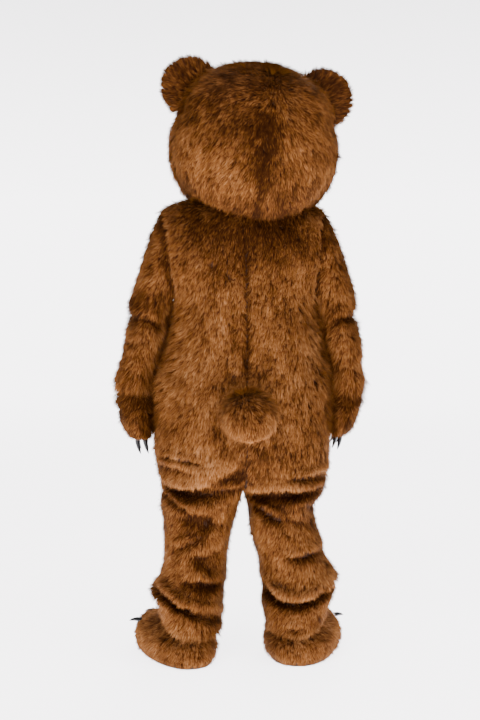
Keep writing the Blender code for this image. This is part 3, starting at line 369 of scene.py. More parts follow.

# Painted shade and painted light: patches that darken the pile where shadow falls under the head, below the
# sleeves' hems and round the tail, and where the nap faces away from the light; where shade is positive they
# lighten it.
PaintedShadeAndLight = namedtuple("PaintedShadeAndLight", "x y height radius_x radius_y radius_height shade")
PAINTED_SHADE_AND_LIGHT = table(
    PaintedShadeAndLight,
    (-0.056, 0.21, 1.618, 0.050, 0.20, 0.046, -0.24),
    (-0.010, 0.21, 1.640, 0.130, 0.20, 0.060, -0.20),
    (-0.100, 0.20, 1.580, 0.080, 0.20, 0.050, -0.20),
    (-0.035, 0.20, 1.540, 0.055, 0.20, 0.065, -0.30),
    (-0.100, 0.20, 1.500, 0.032, 0.20, 0.045, -0.24),
    (-0.165, 0.10, 1.690, 0.040, 0.15, 0.050, -0.18),
    (0.055, 0.20, 1.625, 0.035, 0.20, 0.050, -0.14),
    (0.005, 0.16, 1.748, 0.100, 0.14, 0.022, -0.16),
    (0.000, 0.06, 1.790, 0.240, 0.22, 0.080, -0.26),
    (0.130, 0.20, 1.530, 0.090, 0.20, 0.080, 0.04),
    (0.060, 0.15, 1.345, 0.170, 0.20, 0.075, -0.36),
    (-0.110, 0.15, 1.325, 0.120, 0.20, 0.080, -0.34),
    (0.103, 0.15, 1.232, 0.040, 0.10, 0.045, -0.20),
    (0.000, 0.26, 0.850, 0.090, 0.12, 0.040, -0.10),
    (0.005, 0.25, 1.095, 0.055, 0.15, 0.080, -0.15),
    (-0.195, 0.12, 0.975, 0.045, 0.12, 0.130, 0.20),
    (0.320, 0.00, 0.832, 0.080, 0.10, 0.018, -0.24),
    (-0.320, 0.00, 0.832, 0.080, 0.10, 0.018, -0.26),
    (0.002, 0.20, 0.690, 0.075, 0.060, 0.022, -0.42),
    (0.084, 0.20, 0.735, 0.020, 0.060, 0.045, -0.30),
    (-0.084, 0.20, 0.735, 0.020, 0.060, 0.045, -0.34),
    (0.010, 0.18, 0.612, 0.020, 0.100, 0.022, -0.40),
    (0.055, 0.18, 0.598, 0.045, 0.100, 0.015, -0.26),
    (0.340, 0.00, 0.800, 0.090, 0.25, 0.105, -0.24),
    (-0.340, 0.00, 0.800, 0.090, 0.25, 0.105, -0.24),
    (0.290, 0.00, 1.110, 0.090, 0.20, 0.040, -0.22),
    (-0.290, 0.00, 1.090, 0.090, 0.20, 0.045, -0.22),
    (0.310, 0.03, 1.131, 0.045, 0.20, 0.030, -0.22),
    (0.280, 0.05, 1.233, 0.040, 0.20, 0.040, -0.18),
    (-0.290, 0.05, 1.075, 0.050, 0.20, 0.030, -0.14),
    (0.160, 0.05, 0.480, 0.150, 0.30, 0.060, -0.12),
    (-0.160, 0.05, 0.485, 0.150, 0.30, 0.050, -0.14),
    (0.130, 0.05, 0.290, 0.080, 0.30, 0.060, -0.22),
    (0.160, 0.05, 0.225, 0.150, 0.30, 0.040, -0.14),
    (-0.160, 0.05, 0.215, 0.150, 0.30, 0.045, -0.12),
    (-0.200, 0.05, 0.080, 0.120, 0.30, 0.070, -0.10),
)

# Between these heights an arm hangs against the body, whose side and whose sleeve's inner side begin and end
# this far out. The pile fluffs out there, and painted shade darkens it where it faces the arm.
ARM_AGAINST = {"from": 0.70, "to": 1.17, "body": 0.20, "sleeve": 0.345, "fade": 0.06}
# The pile: a tuft's size, the share of strands that stray from it, and the size of a lock.
TUFT_SIZE = np.array([0.010, 0.010, 0.016])
STRAY_SHARE = 0.07
LOCK_SIZE = 0.0048
# How many degrees each thing turns a strand aside, and how many it lifts the strand.
SWIRL = {"drift": 20, "tuft": 30, "strand": 26}
LIFT = {"tuft": 10, "strand": 18, "standing": 22, "full": 13}
# Pile that is full is longer by this share.
FULL_REACH = 0.30
# What each thing does to a strand's shade, on a scale from 0, dark, to 1, light. Trough and arm are painted
# shade: darker in folds and creases, and where an arm hangs against the body.
Tone = namedtuple("Tone", "middle far_drift near_drift lock tuft strand trough arm")
TONE = Tone(0.48, 0.15, 0.14, 0.25, 0.12, 0.60, 0.38, 0.12)

# A piece of cloth as a grid of points, with their normals, how deep each lies in a trough, which paints shade
# into its pile, and whether the grid closes into a ring.
Cloth = namedtuple("Cloth", "points normals trough wraps")

# The studio: the wall's colour, the softboxes by their share of the key light's power, and the camera.
WALL_COLOUR = "#f6f3f6"
Softbox = namedtuple("Softbox", "name place aim size share")
SOFTBOXES = table(
    Softbox,
    ("key", (1.6, 3.2, 2.6), (0, 0, -0.3), 2.0, 1.0),
    ("fill", (-2.6, 2.2, 1.2), (0, 0, -0.4), 2.2, 0.55),
    ("top", (0.0, 0.3, 3.4), (0, 0, 0), 2.0, 0.6),
    ("front", (-1.2, -3.4, 2.2), (0, 0, -0.3), 2.2, 0.7),
)
CAMERA = namedtuple("Camera", "away bearing height down lens shift")(3.6, 5.0, 1.2, 4.2, 58.05, -0.0042)


# ---- Shape functions -------------------------------------------------------------------------


def column(rows, field):
    return np.array([getattr(row, field) for row in rows])


def smooth_column(heights, values, at):
    """Values along a table's column: between two rows a cubic that keeps the mean slopes of both."""
    slopes = np.gradient(values, heights)
    index = np.clip(np.searchsorted(heights, at) - 1, 0, len(heights) - 2)
    step = heights[index + 1] - heights[index]
    t = np.clip((at - heights[index]) / step, 0.0, 1.0)
    return (
        (2 * t**3 - 3 * t**2 + 1) * values[index]
        + (t**3 - 2 * t**2 + t) * step * slopes[index]
        + (3 * t**2 - 2 * t**3) * values[index + 1]
        + (t**3 - t**2) * step * slopes[index + 1]
    )


def read_rows(rows, at):
    """Every column of a table at row numbers that may be fractions."""
    number = np.arange(len(rows), dtype=float)
    return [smooth_column(number, column(rows, field), at) for field in rows[0]._fields]


def signed_power(value, power):
    return np.sign(value) * np.abs(value) ** power


def stack(*values):
    return np.stack(np.broadcast_arrays(*values), axis=-1)


def unit(vectors):
    return vectors / np.maximum(np.linalg.norm(vectors, axis=-1, keepdims=True), 1e-9)


def fold_trough(part, turn, height):
    """How deep a part's folds are: the sum of each one's depth, a sine at both ends and a bell across.

    The bell runs along a parabola of heights, and is tighter on its upper side, where a soft roll
    of cloth hangs over it.
    """
    total = np.zeros(np.broadcast(turn, height).shape)
    for fold in FOLDS:
        if fold.part != part:
            continue
        along = (turn - fold.turn_from) / (fold.turn_to - fold.turn_from)
        ends = np.sin(np.clip(np.minimum(along, 1 - along), 0, FOLD_END) / FOLD_END * np.pi / 2)
        line = (
            fold.height_from * (1 - along) * (1 - 2 * along)
            + 4 * fold.height_middle * along * (1 - along)
            + fold.height_to * along * (2 * along - 1)
        )
        across = (height - line) / (FOLD_TIGHT * fold.half_width)
        across = np.where(across > 0, across * FOLD_STEEP, across)
        roll = FOLD_ROLL * np.exp(-((across - FOLD_ROLL_AWAY) ** 2))
        total += fold.depth * ends * (np.exp(-(np.abs(across) ** FOLD_POWER)) - roll)
    return total


def hem_height(height, turn):
    """A row's height, raised over the instep by cos(turn) and outside by sin squared up to HEM_REACH."""
    reach = np.maximum(0.0, 1 - (height - ROW_HEIGHTS[0]) / HEM_REACH)
    front, outside = np.maximum(0.0, np.cos(turn)), np.maximum(0.0, np.sin(turn))
    back = np.maximum(0.0, -np.cos(turn))
    return height + (HEM_FRONT_RISE * front + HEM_OUTER_RISE * outside**2 - HEM_BACK_DROP * back) * reach**1.5


def top_edge(face, across):
    """Half the neck oval over the first columns, then a shoulder line that drops by a power of its share."""
    angle = np.pi / 2 * np.clip(across / NECK_COLUMNS, 0, 1)
    share = np.clip((across - NECK_COLUMNS) / (PANEL_COLUMNS - NECK_COLUMNS), 0, 1)
    lift = (1 - np.cos(angle)) * (NECK_SIDE_HEIGHT - NECK_HEIGHT[face])
    drop = share**SHOULDER_BOW * (NECK_SIDE_HEIGHT - SHOULDER_POINT[1])
    x = NECK_HALF_WIDTH * np.sin(angle) + (SHOULDER_POINT[0] - NECK_HALF_WIDTH) * share
    return x, NECK_HALF_DEPTH[face] * np.cos(angle), NECK_HEIGHT[face] + lift - drop


def body_panel(side, face, row, across):
    """Points and fold troughs of a suit panel at row and column numbers, which may be fractions.

    Each row is half a superellipse from the centre or inseam to the side. Over the armhole its end
    is cut back to the armhole's oval, and above the chest a quarter turn bends it to the top edge.
    """
    row, across = np.broadcast_arrays(row, across)
    step = np.clip(row - ARMPIT_ROW, 0, ARMHOLE_ROWS)
    half_way = ARMHOLE_ROWS / 2
    edge = np.pi * np.minimum(step, half_way) / ARMHOLE_ROWS
    armhole_height = ARMHOLE_MIDDLE - (ARMHOLE_MIDDLE - ARMPIT_HEIGHT) * np.cos(edge)
    height = np.interp(row, np.arange(ARMPIT_ROW + 1), ROW_HEIGHTS)
    height = np.where(row <= ARMPIT_ROW, height, armhole_height)

    def read(field):
        return smooth_column(column(BODY_SECTIONS, "height"), column(BODY_SECTIONS, field), height)

    outer, inner, square, deep = read("outer_" + side), read("inner_" + side), read("square"), read(face)
    low = height < CROTCH_HEIGHT - 1e-9
    inner = np.maximum(inner, INSEAM)
    join = np.where(low, 1.0, np.clip(read("join"), 0.0, 1.0))
    half = np.where(low, (outer - inner) / 2, outer / (1 + join))
    middle = np.where(low, (outer + inner) / 2, join * half)
    cut = np.where(step > 0, ARMHOLE_HALF_DEPTH * np.sin(edge), 0.0)
    first = np.arccos(np.minimum(1.0, join ** (square / 2)))
    last = np.pi - np.arcsin(np.clip((cut / deep) ** (square / 2), 0, 1))
    angle = first + (last - first) * across / PANEL_COLUMNS
    x = middle - half * signed_power(np.cos(angle), 2 / square)
    y = deep * np.maximum(np.sin(angle), 0) ** (2 / square)
    turn = 1.5 * np.pi - angle if face == "back" else angle - np.pi / 2
    trough = fold_trough("leg_" + side, np.degrees(turn), height) * (step <= 0)
    length = np.maximum(np.hypot(x - middle, y), 1e-6)
    x, y = x - trough * (x - middle) / length * np.clip(x / 0.02, 0, 1), y - trough * y / length
    z = np.where(step > 0, height, hem_height(height, turn))
    bend = np.pi / 2 * np.clip(step - half_way, 0, half_way) / half_way
    top_x, top_y, top_z = top_edge(face, across)
    x = x + (top_x - x) * (1 - np.cos(bend)) ** 0.8
    y = top_y * (bend > 0) + (y - top_y * (bend > 0)) * np.cos(bend)
    z = z + (top_z - z) * np.sin(bend)
    return stack(x * SIDES[side], y * FACES[face], z - SHOULDER_HEIGHT), trough


def sleeve(side, ring, around):
    """Points and troughs of a sleeve, in ovals between each section's outermost and innermost points.

    The first rings are pulled to the armhole's own edge and let go over the cap.
    """
    count = 2 * ARMHOLE_ROWS
    angle = 2 * np.pi * around / count

    def oval(at):
        outer_x, outer_z, inner_x, inner_z, deep = read_rows(SLEEVE_SECTIONS[side], at)
        outer = stack(outer_x * SIDES[side], 0 * outer_x, outer_z - SHOULDER_HEIGHT)
        inner = stack(inner_x * SIDES[side], 0 * inner_x, inner_z - SHOULDER_HEIGHT)
        across = (outer - inner) / 2 * np.cos(angle)[..., None]
        return (outer + inner) / 2, (outer + inner) / 2 + across + stack(0, deep * np.sin(angle), 0)

    behind = body_panel(side, "back", TOP_ROW - around, PANEL_COLUMNS)[0]
    before = body_panel(side, "front", TOP_ROW - count + around, PANEL_COLUMNS)[0]
    edge = np.where((around <= ARMHOLE_ROWS)[..., None], behind, before)
    fade = np.maximum(0.0, 1 - ring / SLEEVE_CAP_RINGS) ** 2
    middle, points = oval(ring)
    points = points + (edge - oval(0 * ring)[1]) * fade[..., None]
    turn = 90 + 360 * around / count
    turn = np.where(turn > 270, turn - 360, turn)
    trough = fold_trough("sleeve_" + side, turn, points[..., 2] + SHOULDER_HEIGHT)
    return points + unit(middle - points) * trough[..., None], trough


def turning(roll, yaw):
    """The matrix of a turn about +Y by roll, then about +Z by yaw, in degrees."""
    a, b = np.radians(roll), np.radians(yaw)
    about_y = np.array([[np.cos(a), 0, np.sin(a)], [0, 1, 0], [-np.sin(a), 0, np.cos(a)]])
    about_z = np.array([[np.cos(b), -np.sin(b), 0], [np.sin(b), np.cos(b), 0], [0, 0, 1]])
    return about_z @ about_y


HEAD_TURN = turning(-HEAD_ROLL, HEAD_YAW)


def on_head(points):
    """Points of the head's own frame, in the costume's."""
    return points @ HEAD_TURN.T + np.array(HEAD_CENTRE) - UP


def head_local(points):
    """Points of the costume's frame, in the head's own."""
    return (points - np.array(HEAD_CENTRE) + UP) @ HEAD_TURN


def head_panel(side, face, row, across):
    """A quarter of a superellipsoid, from the crown down each meridian to the neck opening's rim."""
    around = np.pi / 2 * across / HEAD_COLUMNS
    aside = np.sin(around) ** 2
    rim = HEAD_RIM[face] + (HEAD_RIM["side"] - HEAD_RIM[face]) * aside
    chin = HEAD_CHIN[face] + (HEAD_CHIN["side"] - HEAD_CHIN[face]) * aside
    down = np.radians(rim) * row / HEAD_ROWS
    ring = np.abs(np.sin(down)) ** (2 / HEAD_SQUARE)
    lift = signed_power(np.cos(down), 2 / HEAD_SQUARE)
    dip = HEAD_DIP * np.exp(-(((lift - HEAD_DIP_LIFT) / HEAD_DIP_REACH) ** 2))
    x = SIDES[side] * HEAD_HALF_WIDTH * (1 - dip) * ring * np.sin(around)
    y = FACES[face] * HEAD_HALF_DEPTH[face] * ring * np.cos(around)
    return on_head(stack(x, y, np.where(lift > 0, HEAD_CROWN, chin) * lift))


def oval_ball(centre, radii, down, around):
    """An ellipsoid: latitude down from its top, longitude around."""
    ring = np.sin(down)
    return np.array(centre) + stack(
        radii[0] * ring * np.cos(around), radii[1] * ring * np.sin(around), radii[2] * np.cos(down)
    )


def glove(side, ring, around):
    """Ovals down the hand's table of sections, turned to the hand, drawn together at the fingertips."""
    rows = GLOVE_SECTIONS[side]
    tip = rows[-1]._replace(height=GLOVE_TIP[side], half_width=0.0, half_depth=0.0)
    height, x, y, wide, deep = read_rows(rows + (tip,), ring)
    wide, deep = np.maximum(wide, 0), np.maximum(deep, 0)
    turn = np.radians(GLOVE_TURN[side])
    a, b = wide * np.cos(around), deep * np.sin(around)
    return stack(
        x * SIDES[side] + a * np.cos(turn) - b * np.sin(turn),
        y + a * np.sin(turn) + b * np.cos(turn),
        height - SHOULDER_HEIGHT,
    )


def boot(side, ring, around):
    """Superellipses up the boot's table of sections, wider towards the toes, turned to the foot."""
    height, foot, y, wide, long = read_rows(BOOT_SECTIONS, ring)
    c, s = np.cos(around), np.sin(around)
    wide = wide * (1.0 - 0.10 * s) * (1 - BOOT_NARROW[side] * foot)
    points = stack(
        SIDES[side] * BOOT_ASIDE[side] * foot + wide * signed_power(c, 2 / BOOT_SQUARE),
        y + long * signed_power(s, 2 / BOOT_SQUARE),
        height,
    )
    place = np.array([BOOT_PLACE[side][0] * SIDES[side], BOOT_PLACE[side][1], 0])
    return points @ turning(0, BOOT_TURN[side]).T + place - UP


def grid(rows, columns):
    return np.meshgrid(rows, columns, indexing="ij")


def steps(last):
    """Row or column numbers from 0 to the last, at the pile's fineness."""
    step = 1 / bpy.context.scene.costume_pile.fineness
    return np.arange(0, last + step / 2, step)


def round_steps(count):
    """Angles once round a ring."""
    return np.linspace(0, 2 * np.pi, count + 1)[:-1]


def closed(values, wraps):
    """A grid whose first column is repeated at its end where it wraps."""
    return np.concatenate([values, values[:, :1]], axis=1) if wraps else values


def cell_areas(points):
    """The area of each cell of a grid of points: half the cross product of its diagonals."""
    a, b, c, d = points[:-1, :-1], points[:-1, 1:], points[1:, 1:], points[1:, :-1]
    return np.linalg.norm(np.cross(c - a, d - b), axis=-1) / 2


def normals_of(points, wraps, out):
    """Unit cross products of the grid's two differences, on the side of the given outward vectors."""
    if wraps:
        wide = np.concatenate([points[:, -1:], points, points[:, :1]], axis=1)
        along = np.gradient(wide, axis=1)[:, 1:-1]
    else:
        along = np.gradient(points, axis=1)
    cross = np.cross(along, np.gradient(points, axis=0))
    size = np.linalg.norm(cross, axis=-1)
    for end, near in ((0, 1), (-1, -2)):
        if size[end].max() < 0.02 * size[near].max():
            cross[end] = cross[near].mean(axis=0)
    cross = unit(cross)
    return cross * np.sign((cross * out).sum())


def creased(points, normals, face):
    """Inward displacement by the creases: a bell of the distance below each line, a tighter one above."""
    flat = points[..., (0, 2)] + np.array([0, SHOULDER_HEIGHT])
    facing = np.clip(normals[..., 1] * FACES[face] * 3 + 0.5, 0, 1)
    total = np.zeros(flat.shape[:2])
    for crease in CREASES[face]:
        t = np.linspace(0, 1, 9)[:, None]
        start, middle, end = np.array(crease[:6]).reshape(3, 2)
        line = (1 - t) ** 2 * start + 2 * t * (1 - t) * middle + t**2 * end
        best = np.full(flat.shape[:2], 9.0)
        share, below = np.zeros(flat.shape[:2]), np.zeros(flat.shape[:2])
        for number, (a, b) in enumerate(zip(line[:-1], line[1:])):
            along = np.clip(((flat - a) @ (b - a)) / ((b - a) @ (b - a)), 0, 1)
            away = flat - a - along[..., None] * (b - a)
            gap = np.linalg.norm(away, axis=-1)
            nearer = gap < best
            share = np.where(nearer, (number + along) / (len(line) - 1), share)
            below = np.where(nearer, away[..., 1] < 0, below)
            best = np.minimum(gap, best)
        ends = np.sin(np.clip(np.minimum(share, 1 - share) / CREASE_END, 0.1, 1) * np.pi / 2)
        across = best / crease.half_width
        above = across / (CREASE_STEEP if crease.roll else 1)
        under = crease.depth * np.exp(-(np.where(below > 0, across, above) ** 2))
        roll = crease.roll * (1 - below) * np.exp(-((across - CREASE_ROLL_AWAY) ** 2))
        total += facing * ends * (under - roll) * np.clip(2.5 - across / 4, 0, 1)
    return total


# ---- Noise and pile ---------------------------------------------------------------------------


def hashed(cells, salt):
    """Repeatable numbers from 0 to 1: whole-number cells multiplied by large primes, mixed and scaled."""
    cells = cells.astype(np.uint32)
    mixed = (
        cells[..., 0] * np.uint32(73856093)
        ^ cells[..., 1] * np.uint32(19349663)
        ^ cells[..., 2] * np.uint32(83492791)
        ^ np.uint32(salt * 2654435 + 977)
    )
    mixed = (mixed ^ (mixed >> np.uint32(13))) * np.uint32(1540483477)
    mixed = (mixed ^ (mixed >> np.uint32(15))) * np.uint32(2246822519)
    return (mixed ^ (mixed >> np.uint32(16))).astype(float) / 2**32


def drift(points, cell, salt):
    """Smooth noise from -1 to 1: hashed corners of cubes of one size, blended by a smooth step."""
    scaled = points / cell + 1000.0
    base = np.floor(scaled)
    t = scaled - base
    t = t * t * (3 - 2 * t)
    total = np.zeros(points.shape[:-1])
    for corner in range(8):
        step = np.array([corner & 1, corner >> 1 & 1, corner >> 2])
        total += np.prod(np.where(step, t, 1 - t), axis=-1) * hashed(base + step, salt)
    return 2 * total - 1


def painted_shade_and_light(points):
    """Sum of soft bells of painted shade and painted light at their places, whose edges wander by noise."""
    points = points + 0.035 * stack(drift(points, 0.05, 31), 0 * points[..., 0], drift(points, 0.05, 32))
    total = np.zeros(points.shape[:-1])
    for place in PAINTED_SHADE_AND_LIGHT:
        centre = np.array([place.x, place.y, place.height]) - UP
        radii = np.array([place.radius_x, place.radius_y, place.radius_height])
        total += place.shade * np.exp(-((((points - centre) / radii) ** 2).sum(axis=-1)))
    return total


def fuller(places, normals):
    """0 to 1: how far the pile fluffs out where an arm hangs against the body, on the facing sides; it also
    sets the painted shade there.
    """
    height = places[:, 2] + SHOULDER_HEIGHT
    side = places[:, 0] * np.sign(places[:, 0])
    facing = np.clip(2.5 * np.abs(normals[:, 0]) - 0.5, 0, 1)
    inwards = normals[:, 0] * places[:, 0] < 0
    beside = np.where(inwards, side > ARM_AGAINST["body"], side < ARM_AGAINST["sleeve"])
    below = np.clip((ARM_AGAINST["to"] - height) / ARM_AGAINST["fade"], 0, 1)
    return facing * beside * below * np.clip((height - ARM_AGAINST["from"]) / ARM_AGAINST["fade"], 0, 1)


def scattered(cloth, cover, spacing, rng):
    """One random place per spacing squared of cloth: cells are drawn by area, places inside evenly."""
    points, normals, trough, cover = (closed(values, cloth.wraps) for values in (*cloth[:3], cover))
    area = cell_areas(points) * cover[:-1, :-1]
    total = np.cumsum(area.ravel())
    count = max(int(total[-1] / spacing**2), 8)
    pick = np.searchsorted(total, (np.arange(count) + rng.random(count)) / count * total[-1])
    row, across = np.divmod(np.minimum(pick, area.size - 1), area.shape[1])
    s, t = rng.random(count)[:, None], rng.random(count)[:, None]

    def blended(values):
        values = values.reshape(*values.shape[:2], -1)
        return (
            (1 - s) * ((1 - t) * values[row, across] + t * values[row, across + 1])
            + s * ((1 - t) * values[row + 1, across] + t * values[row + 1, across + 1])
        )

    return blended(points), unit(blended(normals)), blended(trough)[:, 0]


def setting(value, place):
    """A setting that is one value everywhere or a function of place."""
    return value(place) if callable(value) else value


def placed(name, mesh, material):
    """A new object of the mesh, in the scene."""
    made = bpy.data.objects.new(name, mesh)
    bpy.context.scene.collection.objects.link(made)
    mesh.materials.append(material)
    return made


def pile_mesh(name, cloth, material, seed, length, width=0.0024, spacing=None, lay=(0.30, 0, -1), rise=24.0,
              cover=None, root=LYING_PILE, shade=0.0, clump=0.6, near_arm=False, longer=1.0):
    """Lying strands, each one long triangle from a root edge in the backing to a tip at the surface.

    A strand leaves its root at the rise angle along the lay. Strands of a tuft share a turn, a
    length and a shade, and their tips lean to the tuft's middle; one tuft in six stands up more.
    Shading normals stay close to the cloth's own, so the pile reads as one soft surface.
    """
    rng = np.random.default_rng(seed)
    spacing = (spacing or bpy.context.scene.costume_pile.spacing) * 1.0
    cover = np.ones(cloth.points.shape[:2]) if cover is None else cover
    place, normal, trough = scattered(cloth, cover, spacing, rng)
    count = len(place)

    def either_way():
        return rng.random(count) - 0.5

    lay = np.array(setting(lay, place), float)
    lay = unit(lay - (lay * normal).sum(axis=-1, keepdims=True) * normal + 1e-6)
    scaled = place / TUFT_SIZE + 500.0 + 0.8 * drift(place, 0.025, 5)[:, None]
    cells = np.floor(scaled)
    tuft = [hashed(cells, salt) for salt in range(11, 16)]
    centre = (cells + 0.3 + 0.4 * stack(*tuft[:3]) - scaled) * TUFT_SIZE
    centre -= (centre * normal).sum(axis=-1, keepdims=True) * normal
    swirl = SWIRL["drift"] * drift(place, 0.10, 7) + SWIRL["tuft"] * (tuft[0] - 0.5)
    swirl = np.radians(swirl + SWIRL["strand"] * either_way())[:, None]
    run = np.cos(swirl) * lay + np.sin(swirl) * np.cross(normal, lay)
    stray = rng.random(count) < STRAY_SHARE
    full = fuller(place, normal) * near_arm
    standing = np.maximum(np.clip((tuft[4] - 0.80) * 8, 0, 1), stray)
    lift = rise + LIFT["tuft"] * (tuft[1] - 0.5) + LIFT["strand"] * either_way()
    lift = np.radians(lift + LIFT["standing"] * standing + LIFT["full"] * full)[:, None]
    reach = length * (0.80 + 0.40 * rng.random(count)) * (0.84 + 0.32 * tuft[2]) * (1 + FULL_REACH * full)
    reach = (reach * setting(longer, place))[:, None]
    beside = unit(np.cross(run, normal) + 0.7 * (rng.random((count, 1)) - 0.5) * normal)
    wide = (width * (0.7 + 0.6 * rng.random(count)) * np.where(stray, 0.6, 1.0))[:, None]
    along = np.cos(lift) * run + np.sin(lift) * normal
    start = place - root * normal
    tip = start + reach * along + centre * clump
    corners = np.stack([start - beside * wide / 2, start + beside * wide / 2, tip], axis=1)
    corners = np.clip(corners, *(np.array(CAD_BOX) + FLUFF))
    # Noise drawn out along the lay makes strands of one lock share a shade.
    local = place - place.mean(axis=0)
    lock = drift(local - 0.80 * (local * lay).sum(axis=-1, keepdims=True) * lay, LOCK_SIZE, 23)
    tone = TONE.middle + setting(shade, place)
    tone = tone + TONE.far_drift * drift(place, 0.16, 21) + TONE.near_drift * drift(place, 0.035, 22)
    tone += TONE.lock * lock
    # Random shade of tuft and strand, and painted shade and painted light by place.
    tone += TONE.tuft * (tuft[3] - 0.5) + TONE.strand * either_way() + painted_shade_and_light(place)
    # Painted shade: the pile is darker the deeper it lies in a trough, and where it faces a hanging arm.
    painted_arm_shade = full * np.clip(4 * np.abs(normal[:, 0]) - 3, 0, 1)
    tone -= TONE.trough * np.tanh(trough * 60.0) + TONE.arm * painted_arm_shade
    tone = np.clip(tone, 0.03, 0.97)
    mesh = bpy.data.meshes.new(name)
    mesh.vertices.add(count * 3)
    mesh.vertices.foreach_set("co", corners.astype(np.float32).ravel())
    mesh.loops.add(count * 3)
    mesh.loops.foreach_set("vertex_index", np.arange(count * 3, dtype=np.int32))
    mesh.polygons.add(count)
    mesh.polygons.foreach_set("loop_start", np.arange(count, dtype=np.int32) * 3)
    mesh.polygons.foreach_set("use_smooth", np.ones(count, bool))
    mesh.update(calc_edges=True)
    # On the map every strand lies at its own shade across and from root to tip up the page.
    places = stack(tone[:, None] + np.array([-0.006, 0.006, 0.0]), np.array([0.02, 0.02, 0.98]))
    mesh.uv_layers.new(name="OFBake").uv.foreach_set("vector", places.astype(np.float32).ravel())
    soft = unit(0.62 * normal + 0.38 * unit(np.cross(beside, along)))
    mesh.normals_split_custom_set_from_vertices(np.repeat(soft, 3, axis=0).astype(np.float32))
    return placed(name, mesh, material)


# ---- Meshes -----------------------------------------------------------------------------------


def face_grid(rows, columns, wraps):
    """Corner numbers of a grid's quads, as an array of four columns."""
    number = closed(np.arange(rows * columns).reshape(rows, columns), wraps)
    corners = (number[:-1, :-1], number[:-1, 1:], number[1:, 1:], number[1:, :-1])
    return np.stack([corner.ravel() for corner in corners], axis=1)


def mesh_object(name, vertices, faces, material):
    """A smooth mesh whose coinciding points are merged and whose faces point outwards."""
    mesh = bpy.data.meshes.new(name)
    mesh.from_pydata(vertices.reshape(-1, 3).tolist(), [], faces.tolist())
    shape = bmesh.new()
    shape.from_mesh(mesh)
    bmesh.ops.remove_doubles(shape, verts=shape.verts, dist=1e-5)
    bmesh.ops.dissolve_degenerate(shape, edges=shape.edges, dist=1e-6)
    bmesh.ops.recalc_face_normals(shape, faces=shape.faces)
    shape.to_mesh(mesh)
    shape.free()
    mesh.shade_smooth()
    return placed(name, mesh, material)


def backing(name, cloth, material):
    """A thin closed wall of backing cloth: the form moved in along its normals, twice, and rimmed."""
    outer = cloth.points - LYING_PILE * cloth.normals
    inner = outer - BACKING * cloth.normals
    if not cloth.wraps:
        # The walls of both sides still meet at the middle seam.
        outer[:, 0, 0] = inner[:, 0, 0] = cloth.points[:, 0, 0]
    rows, columns = outer.shape[:2]
    quads = face_grid(rows, columns, cloth.wraps)
    size = rows * columns
    number = np.arange(size).reshape(rows, columns)
    faces = [quads, quads[:, ::-1] + size]
    rims = [number[0], number[-1]] + ([] if cloth.wraps else [number[:, 0], number[:, -1]])
    for rim in rims:
        rim = np.append(rim, rim[0]) if cloth.wraps else rim
        faces.append(np.stack([rim[:-1], rim[1:], rim[1:] + size, rim[:-1] + size], axis=1))
    return mesh_object(name, np.stack([outer, inner]), np.concatenate(faces), material)


def flat_size(cloth):
    """Width and length of the cut piece: its longest grid line across and its longest grid line down."""
    points = closed(cloth.points, cloth.wraps)
    lines = (np.linalg.norm(np.diff(points, axis=axis), axis=-1).sum(axis=axis).max() for axis in (1, 0))
    return tuple(round(float(line), 3) for line in lines)


def made_cloth(points, trough, wraps, axis_points):
    return Cloth(points, normals_of(points, wraps, points - axis_points), trough, wraps)


def tube_cloth(points, trough):
    """A cloth of rings, whose outward side is away from each ring's middle."""
    return made_cloth(points, trough, True, points.mean(axis=1, keepdims=True))


# ---- Materials --------------------------------------------------------------------------------


def linear(code):
    """An sRGB hex colour as linear red, green, blue and alpha."""
    values = np.array([int(code[k : k + 2], 16) for k in (1, 3, 5)]) / 255
    values = np.where(values <= 0.04045, values / 12.92, ((values + 0.055) / 1.055) ** 2.4)
    return (*values.tolist(), 1.0)


def new_material(name, **sockets):
    """A named material whose shader's own sockets are set."""
    made = bpy.data.materials.new(name)
    made.use_nodes = True
    shader = made.node_tree.nodes["Principled BSDF"]
    for socket, value in sockets.items():
        shader.inputs[socket.replace("_", " ")].default_value = value
    return made, made.node_tree, shader


def add(tree, kind, inputs=(), **settings):
    """Adds one node: settings are its properties, inputs its values or the sockets that feed it."""
    node = tree.nodes.new(kind)
    for name, value in settings.items():
        setattr(node, name, value)
    for key, value in dict(inputs).items():
        if isinstance(value, bpy.types.NodeSocket):
            tree.links.new(value, node.inputs[key])
        else:
            node.inputs[key].default_value = value
    return node


def ramp(tree, factor, stops):
    """A colour ramp through (place, hex colour) stops."""
    node = add(tree, "ShaderNodeValToRGB", {"Fac": factor})
    elements = node.color_ramp.elements
    while len(elements) < len(stops):
        elements.new(0.5)
    for element, (place, code) in zip(elements, stops):
        element.position = place
        element.color = linear(code)
    return node.outputs["Color"]


def pile_material(name, tips, roots, **sockets):
    """Acrylic pile: the map's width picks the tuft's shade, its height goes from dark root to lit tip."""
    made, tree, shader = new_material(name, **sockets)
    place = add(tree, "ShaderNodeUVMap", uv_map="OFBake")
    split = add(tree, "ShaderNodeSeparateXYZ", {"Vector": place.outputs["UV"]})
    share = add(tree, "ShaderNodeMapRange", {"Value": split.outputs["Y"], "From Min": 0.05, "From Max": 0.85},
                interpolation_type="SMOOTHSTEP")
    mixed = add(tree, "ShaderNodeMix", {0: share.outputs["Result"], 6: ramp(tree, split.outputs["X"], roots),
                                        7: ramp(tree, split.outputs["X"], tips)}, data_type="RGBA")
    tree.links.new(mixed.outputs[2], shader.inputs["Base Color"])
    return made


